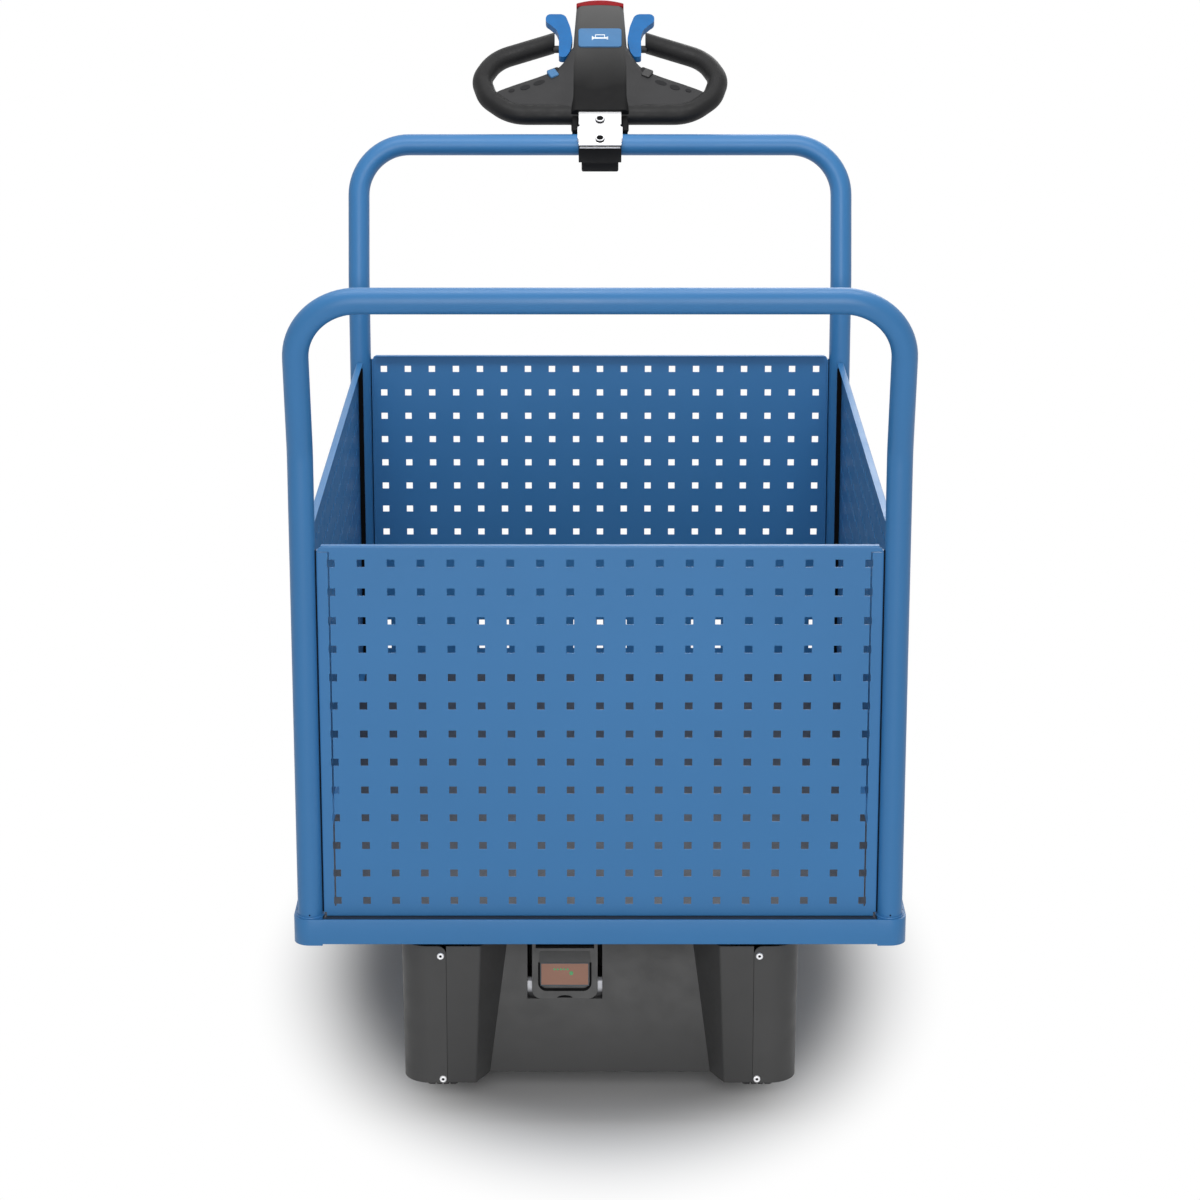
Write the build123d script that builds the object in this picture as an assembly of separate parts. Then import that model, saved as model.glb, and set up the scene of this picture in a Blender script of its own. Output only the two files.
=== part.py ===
from build123d import *
import math
import os

# An electric platform truck: a deck on a steel rim, a leaning hoop at each end, four perforated
# walls, a drive unit with two driven wheels at the front (-Y), two swivel castors at the rear and
# a steering head on the rear hoop. +X is to the right as seen from the front, +Z is up.
# Millimetres and degrees. The model is drawn about the middle of the deck and the floor, and
# at the end it is moved so that its origin is the middle of its box on the floor.

# Deck rim
rim_length = 1200.0
rim_width = 800.0
rim_top = 284.0
rim_height = 34.0
rim_wall = 3.0
rim_ledge = 25.0
corner_drop = 2.0

# Deck board
board_thickness = 12.0
board_set_down = 1.0
board_joint = 1.0

# Cross members under the board
member_width = 50.0
member_wall = 2.0
member_bay = 260.0

# Hoops
tube_diameter = 33.0
tube_inset = 21.7
hoop_height = 1109.0
kink_height = 905.0
kink_bend = 90.0
top_bend = 79.0
hoop_lean_deg = 15.0

# Walls
wall_sheet = 1.5
wall_gap = 1.2
wall_set_out = 5.0
wall_flange = 9.5
end_wall_height = 500.5
side_wall_height = 493.0
wall_corner_cut = 6.0
wall_foot_width = 4.0
wall_foot_height = 6.0
hole_size = 10.0
hole_pitch = 38.0
hole_margin = 15.0
first_row = 21.8
slit_width = 1.2
slit_inset = 14.0
slit_foot = 14.0
slit_head = 7.5

# Drive unit housing
pod_half_top = 262.0
pod_half_bottom = 260.0
pod_inner_top = 157.0
pod_inner_bottom = 164.0
panel_half_top = 121.0
panel_half_bottom = 147.0
pod_set_back = 25.0
pod_length = 236.0
panel_recess_bottom = 36.0
panel_recess_top = 74.0
pod_bottom = 44.0
pod_top = 237.5
pod_corner = 37.0
pod_rear_corner = 14.0
pod_seam = 202.0
pod_wall = 3.0
bay_inner = 170.0

# Drive plate, wheel cheeks and axles
drive_plate_thickness = 8.0
drive_plate_margin = 5.0
spacer_radius = 12.0
cheek_thickness = 6.0
cheek_gap = 62.0
cheek_width = 84.0
cheek_foot_radius = 30.0
axle_diameter = 20.0
axle_nut_radius = 15.0
axle_nut_height = 7.0
pin_clearance = 0.3

# Drive wheels
drive_wheel_diameter = 200.0
drive_wheel_width = 45.0
drive_wheel_x = 212.0
drive_wheel_set_back = 118.0
drive_rim_diameter = 158.0
drive_hub_diameter = 104.0
drive_boss_diameter = 44.0
drive_web = 12.0
drive_hub_width = 38.0
wheel_side_gap = 1.0
tyre_slope = 4.0
rim_flange = 9.0

# Castors
castor_wheel_diameter = 200.0
castor_wheel_width = 48.0
castor_rim_diameter = 150.0
castor_hub_diameter = 60.0
castor_web = 10.0
castor_side_inset = 100.0
castor_end_inset = 160.0
castor_trail = 50.0
castor_axle_diameter = 12.0
castor_nut_radius = 11.0
castor_nut_height = 8.0
castor_plate_length = 140.0
castor_plate_width = 110.0
castor_plate_thickness = 6.0
castor_hole_diameter = 11.0
castor_hole_spacing_long = 105.0
castor_hole_spacing_wide = 80.0
castor_beam_thickness = 8.0
castor_beam_width = 150.0
castor_beam_margin = 4.0
fork_gap = 60.0
fork_wall = 5.0
fork_crown = 6.0
fork_wheel_clearance = 6.0
fork_foot_radius = 22.0
race_radius = 43.0
race_lip = 4.0
race_gap = 0.3
kingpin_diameter = 12.0

# Battery in the drive unit
battery_offset = 46.9
battery_width = 87.5
battery_slot = 6.25
battery_floor = 141.5
battery_depth = 120.0
battery_set_in = 2.0
battery_head_gap = 3.0
battery_corner = 12.0
battery_grip_width = 77.8
battery_grip_foot = 66.5
battery_grip_height = 18.0
battery_grip_depth = 22.0
display_width = 62.6
display_height = 29.3
display_thickness = 1.0
display_foot = 159.9
bezel_width = 70.5
bezel_height = 39.0
bezel_thickness = 7.0
bezel_foot = 151.2
bezel_corner = 9.0
latch_height = 22.5
latch_depth = 14.0
latch_set_in = 3.0

# Steering head, drawn flat: x across, y up along the head, z out of its top face
tiller_tilt_deg = 36.0
clamp_half = 33.5
clamp_front = 22.8
clamp_length = 73.5
clamp_top = 19.7
clamp_jaw = 34.0
clamp_depth = 57.0
clamp_lower_half = 29.0
clamp_edge = 4.0
clamp_bore_gap = 0.3
plate_thickness = 3.0
plate_hole_diameter = 10.0
plate_hole_first = 11.4
plate_hole_spacing = 43.0
plate_notch = 1.6
plate_notch_length = 6.0
plate_notch_place = 44.0
head_length = 243.3
head_half = 42.5
head_under = 28.0
head_over = 27.0
head_tip_half = 38.0
head_tip_under = 14.0
head_tip_over = 24.0
head_edge = 9.0
head_cheek = 6.5
cheek_side_gap = 0.5
cheek_bar_gap = 1.0
cheek_set_down = 5.0
head_level_share = 0.41
head_taper_share = 0.78

# Grips, from the head's side round to the open end: corners as shares of reach and rise
grip_diameter = 32.4
grip_level = 5.0
grip_reach = 189.5
grip_low = 62.0
grip_high = 225.5
grip_bend_low = 60.0
grip_bend_side = 45.0
grip_bend_tip = 42.0
grip_bend_high = 66.0
grip_corner_shares = (
    (0.739, 0.0),
    (0.939, 0.223),
    (1.0, 0.471),
    (0.884, 0.749),
    (0.388, 1.0),
)

# Lobes between head and grips
lobe_tip_x = 157.6
lobe_tip_y = 102.0
lobe_tip_cut = 12.0
lobe_bend_x = 75.0
lobe_bend_y = 150.0
lobe_bend_radius = 60.0
lobe_root = 200.0
lobe_half = 11.0
lobe_outer_share = 0.56

# Controls on the head
lever_width = 44.5
lever_length = 104.0
lever_foot = 185.5
lever_thickness = 18.0
lever_gap = 0.5
lever_edge = 2.0
lever_pin_diameter = 10.0
lever_pin_drop = 6.0
lever_neck_share = 0.51
lever_outline_shares = (
    (0.02, 0.41),
    (0.11, 0.70),
    (0.27, 0.95),
    (0.40, 1.0),
    (0.90, 1.0),
    (1.0, 0.93),
    (0.98, 0.82),
    (0.82, 0.75),
    (0.60, 0.63),
    (0.51, 0.49),
    (0.51, 0.01),
    (0.27, 0.0),
    (0.12, 0.12),
)
horn_width = 69.0
horn_length = 42.0
horn_foot = 192.0
horn_height = 2.5
horn_corner = 5.0
belly_length = 16.0
belly_edge = 5.0
button_length = 15.0
button_width = 11.0
button_height = 5.0
button_corner = 2.0
button_x = 76.0
button_y = 137.0

# Build helpers
overrun = 20.0


def block(x_range, y_range, z_range):
    """A box between three pairs of limits."""
    ranges = (x_range, y_range, z_range)
    size = [high - low for low, high in ranges]
    middle = [(high + low) / 2 for low, high in ranges]
    return Pos(*middle) * Box(*size)


def both_sides(half):
    """The range from minus a half width to plus it."""
    return (-half, half)


def mirrored(shape):
    """The same shape on the other side of the truck."""
    return mirror(shape, about=Plane.YZ)


def side_profile(points, x_range):
    """A solid whose outline is given as (y, z) points, between two x values."""
    outline = make_face(Polyline([(0, y, z) for y, z in points], close=True))
    return Pos(x_range[0], 0, 0) * extrude(outline, x_range[1] - x_range[0], dir=(1, 0, 0))


def x_cylinder(radius, x_range, y, z):
    """A cylinder along X between two x values."""
    length = x_range[1] - x_range[0]
    middle = (x_range[0] + x_range[1]) / 2
    return Pos(middle, y, z) * Rot(0, 90, 0) * Cylinder(radius, length)


nodes = {}
rim_bottom = rim_top - rim_height
half_width = rim_width / 2
half_length = rim_length / 2
tube_radius = tube_diameter / 2
corner_side = tube_inset + tube_radius
board_top = rim_top - board_set_down
board_bottom = board_top - board_thickness
castor_x = half_width - castor_side_inset
castor_y = half_length - castor_end_inset
pod_front = half_length - pod_set_back
pod_rear = pod_front - pod_length
panel_front_bottom = pod_front - panel_recess_bottom
panel_front_top = pod_front - panel_recess_top
drive_wheel_y = pod_front - drive_wheel_set_back


def rail(outer, length):
    """A rim rail along Y: a web with a ledge for the board and a bottom flange, both inward."""
    inner = outer - rim_wall
    tip = outer - rim_ledge
    points = [
        (outer, rim_bottom),
        (tip, rim_bottom),
        (tip, rim_bottom + rim_wall),
        (inner, rim_bottom + rim_wall),
        (inner, board_bottom - rim_wall),
        (tip, board_bottom - rim_wall),
        (tip, board_bottom),
        (inner, board_bottom),
        (inner, rim_top),
        (outer, rim_top),
    ]
    outline = make_face(Polyline([(x, 0, z) for x, z in points], close=True))
    return extrude(outline, length / 2, dir=(0, 1, 0), both=True)


def rim_pieces():
    """The four rails and the four corner blocks that the hoops stand on."""
    side_rail = rail(half_width, rim_length - 2 * corner_side)
    end_rail = rail(half_length, rim_width - 2 * corner_side)
    nodes["rim_rail_right"] = side_rail
    nodes["rim_rail_left"] = mirrored(side_rail)
    nodes["rim_rail_rear"] = Rot(0, 0, 90) * end_rail
    nodes["rim_rail_front"] = Rot(0, 0, -90) * end_rail
    corner = block(
        (half_width - corner_side, half_width),
        (half_length - corner_side, half_length),
        (rim_bottom - corner_drop, rim_top),
    )
    outer_edge = corner.edges().filter_by(Axis.Z).sort_by(Axis.X)[-2:].sort_by(Axis.Y)[-1]
    corner = fillet(outer_edge, tube_inset)
    rear = [corner, mirrored(corner)]
    front = [mirror(piece, about=Plane.XZ) for piece in rear]
    nodes["rim_corners"] = Compound(children=rear + front)


def deck_board():
    """The board, flush in the rim, with its corners cut round the corner blocks."""
    half_x = half_width - rim_wall - board_joint
    half_y = half_length - rim_wall - board_joint
    heights = (board_bottom, board_top)
    board = block(both_sides(half_x), both_sides(half_y), heights)
    cut = corner_side + board_joint
    for side_x in (-1, 1):
        for side_y in (-1, 1):
            x_range = sorted((side_x * (half_width - cut), side_x * half_width))
            y_range = sorted((side_y * (half_length - cut), side_y * half_length))
            board -= block(x_range, y_range, heights)
    nodes["deck_board"] = board


drive_plate_top = rim_bottom
drive_plate_bottom = drive_plate_top - drive_plate_thickness
drive_plate_front = -pod_front + drive_plate_margin
drive_plate_rear = -pod_rear - drive_plate_margin
castor_beam_bottom = rim_bottom - castor_beam_thickness
castor_beam_front = castor_y - castor_beam_width / 2
castor_beam_rear = castor_y + castor_beam_width / 2


def cross_members():
    """Box tubes across the rim: two over each under plate and the rest spread between them."""
    half = member_width / 2
    front = [-half_length + corner_side + half, drive_plate_rear - half]
    rear = [castor_beam_front + half, castor_beam_rear - half]
    span = rear[0] - front[1]
    gaps = max(1, round(span / member_bay))
    middle = [front[1] + span * index / gaps for index in range(1, gaps)]
    length = rim_width - 2 * rim_ledge
    height = board_bottom - rim_bottom
    section = Rectangle(member_width, height)
    section -= Rectangle(member_width - 2 * member_wall, height - 2 * member_wall)
    tube = extrude(Plane.YZ * section, length / 2, both=True)
    level = rim_bottom + height / 2
    tubes = [Pos(0, y, level) * tube for y in front + middle + rear]
    nodes["cross_members"] = Compound(children=tubes)


hoop_x = half_width - tube_inset
hoop_y = half_length - tube_inset
hoop_reach = (hoop_height - kink_height) * math.tan(math.radians(hoop_lean_deg))
bar_y = hoop_y + hoop_reach


def hoops():
    """One tube hoop at each end: it stands on the corner blocks and leans outward above a kink."""
    path = FilletPolyline(
        (-hoop_x, hoop_y, rim_top),
        (-hoop_x, hoop_y, kink_height),
        (-hoop_x, bar_y, hoop_height),
        (hoop_x, bar_y, hoop_height),
        (hoop_x, hoop_y, kink_height),
        (hoop_x, hoop_y, rim_top),
        radius=[kink_bend, top_bend, top_bend, kink_bend],
    )
    foot = Plane(origin=(-hoop_x, hoop_y, rim_top), z_dir=(0, 0, 1))
    hoop = sweep(foot * Circle(tube_radius), path=path)
    nodes["hoop_rear"] = hoop
    nodes["hoop_front"] = mirror(hoop, about=Plane.XZ)


def hole_count(length):
    """How many holes of the wall's pitch fit in a length between its margins."""
    return max(1, int((length - 2 * hole_margin) / hole_pitch) + 1)


def pan(width, height):
    """A perforated wall as a folded pan: outer face at y = 0, flanges to +y, foot at z = 0."""
    half = width / 2
    points = [
        (-half + wall_foot_width, 0),
        (half - wall_foot_width, 0),
        (half - wall_foot_width, wall_foot_height),
        (half, wall_foot_height),
        (half, height - wall_corner_cut),
        (half - wall_corner_cut, height),
        (-half + wall_corner_cut, height),
        (-half, height - wall_corner_cut),
        (-half, wall_foot_height),
        (-half + wall_foot_width, wall_foot_height),
    ]
    outline = make_face(Polyline([(x, 0, z) for x, z in points], close=True))
    body = extrude(outline, wall_flange, dir=(0, 1, 0))
    inner_half = half - wall_foot_width - wall_sheet
    body -= block(
        both_sides(inner_half),
        (wall_sheet, wall_flange + overrun),
        (wall_sheet, height - wall_corner_cut - wall_sheet),
    )
    hole = Box(hole_size, wall_sheet + 2 * overrun, hole_size)
    columns = hole_count(width)
    rows = hole_count(height)
    first_x = -(columns - 1) * hole_pitch / 2
    holes = []
    for column in range(columns):
        for row in range(rows):
            place = (first_x + column * hole_pitch, wall_sheet / 2, first_row + row * hole_pitch)
            holes.append(Pos(*place) * hole)
    return body - holes


wall_outer_y = hoop_y + wall_set_out
end_wall_width = 2 * (hoop_x - tube_radius - wall_gap)
side_wall_length = 2 * (hoop_y - tube_radius - wall_gap)
side_wall_outer = hoop_x + wall_set_out


def walls():
    """Four pans between the hoop legs, standing on the board, the front one with slit margins."""
    end_wall = pan(end_wall_width, end_wall_height)
    nodes["wall_rear"] = Pos(0, wall_outer_y, board_top) * Rot(0, 0, 180) * end_wall
    slit = (end_wall_width / 2 - slit_inset, end_wall_width / 2 - slit_inset + slit_width)
    cut = block(slit, (-overrun, wall_sheet + overrun), (slit_foot, end_wall_height - slit_head))
    nodes["wall_front"] = Pos(0, -wall_outer_y, board_top) * (end_wall - [cut, mirrored(cut)])
    side_wall = pan(side_wall_length, side_wall_height)
    nodes["wall_right"] = Pos(side_wall_outer, 0, board_top) * Rot(0, 0, 90) * side_wall
    nodes["wall_left"] = Pos(-side_wall_outer, 0, board_top) * Rot(0, 0, -90) * side_wall


def housing_section(outer, inner, panel, panel_front, level):
    """The drive unit in plan at one height, pods and panel together."""
    half = [
        (outer, -pod_rear),
        (outer, -pod_front),
        (inner, -pod_front),
        (panel, -panel_front),
    ]
    points = half + [(-x, y) for x, y in reversed(half)]
    face = make_face(Polyline([(x, y, level) for x, y in points], close=True))
    front = [v for v in face.vertices() if abs(v.X) > outer - pod_wall and v.Y < -pod_front + pod_wall]
    face = fillet(front, pod_corner)
    rear = [v for v in face.vertices() if v.Y > -pod_rear - pod_wall]
    return fillet(rear, pod_rear_corner)


panel_lean = (panel_front_bottom - panel_front_top) / (pod_top - pod_bottom)
panel_lean_deg = math.degrees(math.atan(panel_lean))


def panel_y(level, set_in):
    """Where the leaning centre panel lies at a height, or a plane set in behind it."""
    return -panel_front_bottom + panel_lean * (level - pod_bottom) + set_in


def panel_plane(level, set_in):
    """A plane on the centre panel at the battery's middle: y up the panel, z out of it."""
    lean = math.radians(panel_lean_deg)
    normal = (0, -math.cos(lean), math.sin(lean))
    return Plane(origin=(-battery_offset, panel_y(level, set_in), level), x_dir=(1, 0, 0), z_dir=normal)


battery_half = battery_width / 2
pocket_half = battery_half + battery_slot
battery_rear = panel_y(battery_floor, battery_depth)
battery_top = pod_top - battery_head_gap


def drive_housing():
    """The moulded drive unit: a centre piece with the battery pocket, and a cover on each pod."""
    foot = housing_section(
        pod_half_bottom, pod_inner_bottom, panel_half_bottom, panel_front_bottom, pod_bottom
    )
    head = housing_section(pod_half_top, pod_inner_top, panel_half_top, panel_front_top, pod_top)
    whole = loft([foot, head], ruled=True)
    bay = block(
        (bay_inner, pod_half_bottom - pod_wall),
        (-pod_front + pod_wall, -pod_rear - pod_wall),
        (pod_bottom - overrun, pod_top + overrun),
    )
    front_edge = bay.edges().filter_by(Axis.Z).sort_by(Axis.X)[-2:].sort_by(Axis.Y)[0]
    bay = fillet(front_edge, pod_corner - pod_wall)
    rear_edge = bay.edges().filter_by(Axis.Z).sort_by(Axis.Y)[-2:].sort_by(Axis.X)[-1]
    bay = fillet(rear_edge, pod_rear_corner - pod_wall)
    whole -= [bay, mirrored(bay)]
    heights = (pod_bottom - overrun, pod_top + overrun)
    depth = (-pod_front - overrun, -pod_rear + overrun)
    cover = whole & block((pod_seam, pod_half_top + overrun), depth, heights)
    nodes["pod_cover_right"] = cover
    nodes["pod_cover_left"] = mirrored(cover)
    centre = whole & block(both_sides(pod_seam), depth, heights)
    pocket = side_profile(
        [
            (panel_y(battery_floor, -overrun), battery_floor),
            (battery_rear, battery_floor),
            (battery_rear, pod_top + overrun),
            (panel_y(pod_top, -overrun), pod_top + overrun),
        ],
        (-battery_offset - pocket_half, -battery_offset + pocket_half),
    )
    nodes["drive_housing"] = centre - pocket


def battery():
    """The removable battery in its pocket, its display and the two latches round its lower corners."""
    body = side_profile(
        [
            (panel_y(battery_floor, battery_set_in), battery_floor),
            (battery_rear, battery_floor),
            (battery_rear, battery_top),
            (panel_y(battery_top, battery_set_in), battery_top),
        ],
        (-battery_offset - battery_half, -battery_offset + battery_half),
    )
    feet = body.edges().filter_by(Axis.Y).sort_by(Axis.Z)[:2]
    body = fillet(feet, battery_corner)
    recess_foot = battery_floor + battery_grip_foot
    recess_rear = panel_y(recess_foot, battery_set_in + battery_grip_depth)
    recess = block(
        both_sides(battery_grip_width / 2),
        (panel_y(battery_floor, -overrun), recess_rear),
        (recess_foot, recess_foot + battery_grip_height),
    )
    body -= Pos(-battery_offset, 0, 0) * recess
    bezel_plane = panel_plane(bezel_foot + bezel_height / 2, battery_set_in)
    bezel = extrude(bezel_plane * RectangleRounded(bezel_width, bezel_height, bezel_corner), bezel_thickness)
    nodes["battery_pack"] = body + bezel
    face = panel_plane(display_foot + display_height / 2, battery_set_in)
    face = face.offset(bezel_thickness)
    nodes["battery_display"] = extrude(face * Rectangle(display_width, display_height), display_thickness)
    latches = []
    level = (battery_floor, battery_floor + latch_height)
    front = panel_y(level[1], latch_set_in)
    for side in (-1, 1):
        edges = sorted((side * (battery_half - battery_corner), side * pocket_half))
        x_range = [edge - battery_offset for edge in edges]
        latches.append(block(x_range, (front, front + latch_depth), level) - body)
    nodes["battery_latches"] = Compound(children=latches)


axle_length = cheek_gap + 2 * cheek_thickness
drive_axle_z = drive_wheel_diameter / 2


def drive_carrier():
    """The plate under the rim, its spacers to the housing, and the cheeks that hold each axle."""
    plate = block(
        both_sides(pod_half_bottom - pod_wall),
        (drive_plate_front, drive_plate_rear),
        (drive_plate_bottom, drive_plate_top),
    )
    spacer_height = drive_plate_bottom - pod_top
    spacer_y = (
        -panel_front_top + 2 * spacer_radius,
        -pod_rear - 2 * spacer_radius,
    )
    spacer_x = bay_inner - 2 * spacer_radius
    for x in both_sides(spacer_x):
        for y in spacer_y:
            spacer = Cylinder(spacer_radius, spacer_height)
            plate += Pos(x, y, pod_top + spacer_height / 2) * spacer
    nodes["drive_plate"] = plate
    inner_x = drive_wheel_x - cheek_gap / 2
    outer_x = drive_wheel_x + cheek_gap / 2
    cheeks = []
    for x_range in ((inner_x - cheek_thickness, inner_x), (outer_x, outer_x + cheek_thickness)):
        leg = side_profile(
            [
                (-drive_wheel_y - cheek_width / 2, drive_plate_bottom),
                (-drive_wheel_y - cheek_foot_radius, drive_axle_z),
                (-drive_wheel_y + cheek_foot_radius, drive_axle_z),
                (-drive_wheel_y + cheek_width / 2, drive_plate_bottom),
            ],
            x_range,
        )
        foot = x_cylinder(cheek_foot_radius, x_range, -drive_wheel_y, drive_axle_z)
        cheeks.append(leg + foot)
    shaft = (inner_x - cheek_thickness, outer_x + cheek_thickness)
    axle = x_cylinder(axle_diameter / 2, shaft, -drive_wheel_y, drive_axle_z)
    nut_range = (shaft[1], shaft[1] + axle_nut_height)
    nut = x_cylinder(axle_nut_radius, nut_range, -drive_wheel_y, drive_axle_z)
    right = cheeks[0] + cheeks[1] + axle + nut
    nodes["drive_axle_right"] = right
    nodes["drive_axle_left"] = mirrored(right)


def wheel(radius, width, rim_radius, hub_radius, hub_width, web, boss_radius, boss_width, bore):
    """A tyre and a rim turned about X at the origin: rim ring, web, hub drum and end bosses."""
    half = width / 2
    tyre_half = [(half, rim_radius), (half - tyre_slope, radius)]
    tyre_points = tyre_half + [(-x, r) for x, r in reversed(tyre_half)]
    tyre_face = make_face(Polyline([(x, 0, r) for x, r in tyre_points], close=True))
    tyre = revolve(tyre_face, Axis.X)
    ring = rim_radius - rim_flange
    rim_half = [
        (boss_width / 2, bore),
        (boss_width / 2, boss_radius),
        (hub_width / 2, boss_radius),
        (hub_width / 2, hub_radius),
        (web / 2, hub_radius + (hub_width - web) / 2),
        (web / 2, ring - (half - web / 2) / 2),
        (half, ring),
        (half, rim_radius),
    ]
    rim_points = rim_half + [(-x, r) for x, r in reversed(rim_half)]
    rim_face = make_face(Polyline([(x, 0, r) for x, r in rim_points], close=True))
    return tyre, revolve(rim_face, Axis.X)


def drive_wheels():
    """The two driven wheels, each a tyre on a hub that turns on its axle."""
    tyre, hub = wheel(
        drive_wheel_diameter / 2,
        drive_wheel_width,
        drive_rim_diameter / 2,
        drive_hub_diameter / 2,
        drive_hub_width,
        drive_web,
        drive_boss_diameter / 2,
        cheek_gap - 2 * wheel_side_gap,
        axle_diameter / 2 + pin_clearance,
    )
    place = Pos(drive_wheel_x, -drive_wheel_y, drive_axle_z)
    nodes["drive_tyre_right"] = place * tyre
    nodes["drive_hub_right"] = place * hub
    nodes["drive_tyre_left"] = mirrored(place * tyre)
    nodes["drive_hub_left"] = mirrored(place * hub)


castor_axle_z = castor_wheel_diameter / 2
crown_bottom = castor_wheel_diameter + fork_wheel_clearance
crown_top = crown_bottom + fork_crown
plate_bottom = castor_beam_bottom - castor_plate_thickness


def castor_mounts():
    """The beam under the rear of the rim, and each castor's top plate with its race and kingpin."""
    half = half_width - rim_wall - castor_beam_margin
    beam = block(
        both_sides(half),
        (castor_beam_front, castor_beam_rear),
        (castor_beam_bottom, rim_bottom),
    )
    holes = []
    for x in both_sides(castor_x):
        for side_x in both_sides(castor_hole_spacing_wide / 2):
            for side_y in both_sides(castor_hole_spacing_long / 2):
                hole = Cylinder(castor_hole_diameter / 2, castor_beam_thickness + 2 * overrun)
                holes.append(Pos(x + side_x, castor_y + side_y, castor_beam_bottom) * hole)
    nodes["castor_beam"] = beam - holes
    middle = (plate_bottom + castor_beam_bottom) / 2
    plate = Box(castor_plate_width, castor_plate_length, castor_plate_thickness)
    top = Pos(castor_x, castor_y, middle) * plate
    race_top = plate_bottom
    race_foot = race_top - race_lip
    race_middle = (race_top + race_foot) / 2
    top += Pos(castor_x, castor_y, race_middle) * Cylinder(race_radius + race_lip, race_lip)
    pin_foot = crown_bottom + race_gap
    pin_middle = (race_foot + pin_foot) / 2
    pin = Cylinder(kingpin_diameter / 2, race_foot - pin_foot)
    top += Pos(castor_x, castor_y, pin_middle) * pin
    top -= holes
    nodes["castor_plate_right"] = top
    nodes["castor_plate_left"] = mirrored(top)


def castor_fork():
    """A swivelling fork at the origin of its kingpin: race, crown, two legs and the wheel bolt."""
    race_head = plate_bottom - race_lip - race_gap
    race = Pos(0, 0, (crown_top + race_head) / 2) * Cylinder(race_radius, race_head - crown_top)
    half = fork_gap / 2 + fork_wall
    crown_front = -race_radius
    crown_rear = race_radius + fork_foot_radius
    crown = block(both_sides(half), (crown_front, crown_rear), (crown_bottom, crown_top))
    legs = []
    for x_range in ((-half, -fork_gap / 2), (fork_gap / 2, half)):
        leg = side_profile(
            [
                (crown_front, crown_bottom),
                (castor_trail - fork_foot_radius, castor_axle_z),
                (castor_trail + fork_foot_radius, castor_axle_z),
                (crown_rear, crown_bottom),
            ],
            x_range,
        )
        legs.append(leg + x_cylinder(fork_foot_radius, x_range, castor_trail, castor_axle_z))
    fork = crown + legs + race
    ends = (-half - castor_nut_height, half + castor_nut_height)
    fork += x_cylinder(castor_axle_diameter / 2, ends, castor_trail, castor_axle_z)
    for x_range in ((ends[0], -half), (half, ends[1])):
        fork += x_cylinder(castor_nut_radius, x_range, castor_trail, castor_axle_z)
    hole = Cylinder(kingpin_diameter / 2 + pin_clearance, 2 * (race_head - crown_bottom) + overrun)
    return fork - Pos(0, 0, race_head) * hole


def castors():
    """Both castors, with their wheels trailing to the rear."""
    fork = Pos(castor_x, castor_y, 0) * castor_fork()
    nodes["castor_fork_right"] = fork
    nodes["castor_fork_left"] = mirrored(fork)
    tyre, rim = wheel(
        castor_wheel_diameter / 2,
        castor_wheel_width,
        castor_rim_diameter / 2,
        castor_hub_diameter / 2,
        castor_wheel_width,
        castor_web,
        castor_hub_diameter / 2 - race_lip,
        fork_gap - 2 * wheel_side_gap,
        castor_axle_diameter / 2 + pin_clearance,
    )
    place = Pos(castor_x, castor_y + castor_trail, castor_axle_z)
    nodes["castor_tyre_right"] = place * tyre
    nodes["castor_rim_right"] = place * rim
    nodes["castor_tyre_left"] = mirrored(place * tyre)
    nodes["castor_rim_left"] = mirrored(place * rim)


tiller_plane = Plane(
    origin=(0, bar_y, hoop_height),
    x_dir=(1, 0, 0),
    z_dir=(0, -math.sin(math.radians(tiller_tilt_deg)), math.cos(math.radians(tiller_tilt_deg))),
)
head_start = clamp_length - clamp_front
head_end = head_start + head_length


def on_tiller(name, shape):
    """Keep a piece of the steering head, moved from its flat drawing to its place on the bar."""
    nodes[name] = tiller_plane.location * shape


def clamp():
    """The clamp block round the hoop's bar and the zinc plate screwed on top of it."""
    jaw_foot = clamp_top - clamp_jaw
    upper = block(both_sides(clamp_half), (-clamp_front, head_start), (jaw_foot, clamp_top))
    lower = block(
        both_sides(clamp_lower_half),
        (-clamp_front, head_start),
        (clamp_top - clamp_depth, jaw_foot),
    )
    foot_edges = lower.edges().sort_by(Axis.Z)[:4]
    body = upper + fillet(foot_edges, clamp_edge)
    body -= x_cylinder(tube_radius + clamp_bore_gap, both_sides(clamp_half + overrun), 0, 0)
    on_tiller("clamp_block", body)
    plate = block(
        both_sides(clamp_half), (-clamp_front, head_start), (clamp_top, clamp_top + plate_thickness)
    )
    for y in (-plate_hole_first, plate_hole_spacing - plate_hole_first):
        plate -= Pos(0, y, clamp_top) * Cylinder(plate_hole_diameter / 2, 2 * plate_thickness + overrun)
    notch = (plate_notch_place - clamp_front - plate_notch_length, plate_notch_place - clamp_front)
    for side in (-1, 1):
        x_range = sorted((side * (clamp_half - plate_notch), side * (clamp_half + overrun)))
        plate -= block(x_range, notch, (clamp_top - overrun, clamp_top + overrun))
    on_tiller("clamp_plate", plate)


def grip_path(start):
    """The line of the right grip, from the head's side round to its open end by the lever."""
    rise = grip_high - grip_low
    points = [(start, grip_low, grip_level)]
    for x_share, y_share in grip_corner_shares:
        points.append((grip_reach * x_share, grip_low + rise * y_share, grip_level))
    bends = [grip_bend_low, grip_bend_side, grip_bend_tip, grip_bend_high]
    return FilletPolyline(*points, radius=bends)


def grip_tube(radius):
    """A round tube of some radius along the right grip."""
    foot = Plane(origin=(head_half, grip_low, grip_level), z_dir=grip_path(head_half) % 0)
    return sweep(foot * Circle(radius), path=grip_path(head_half))


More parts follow.
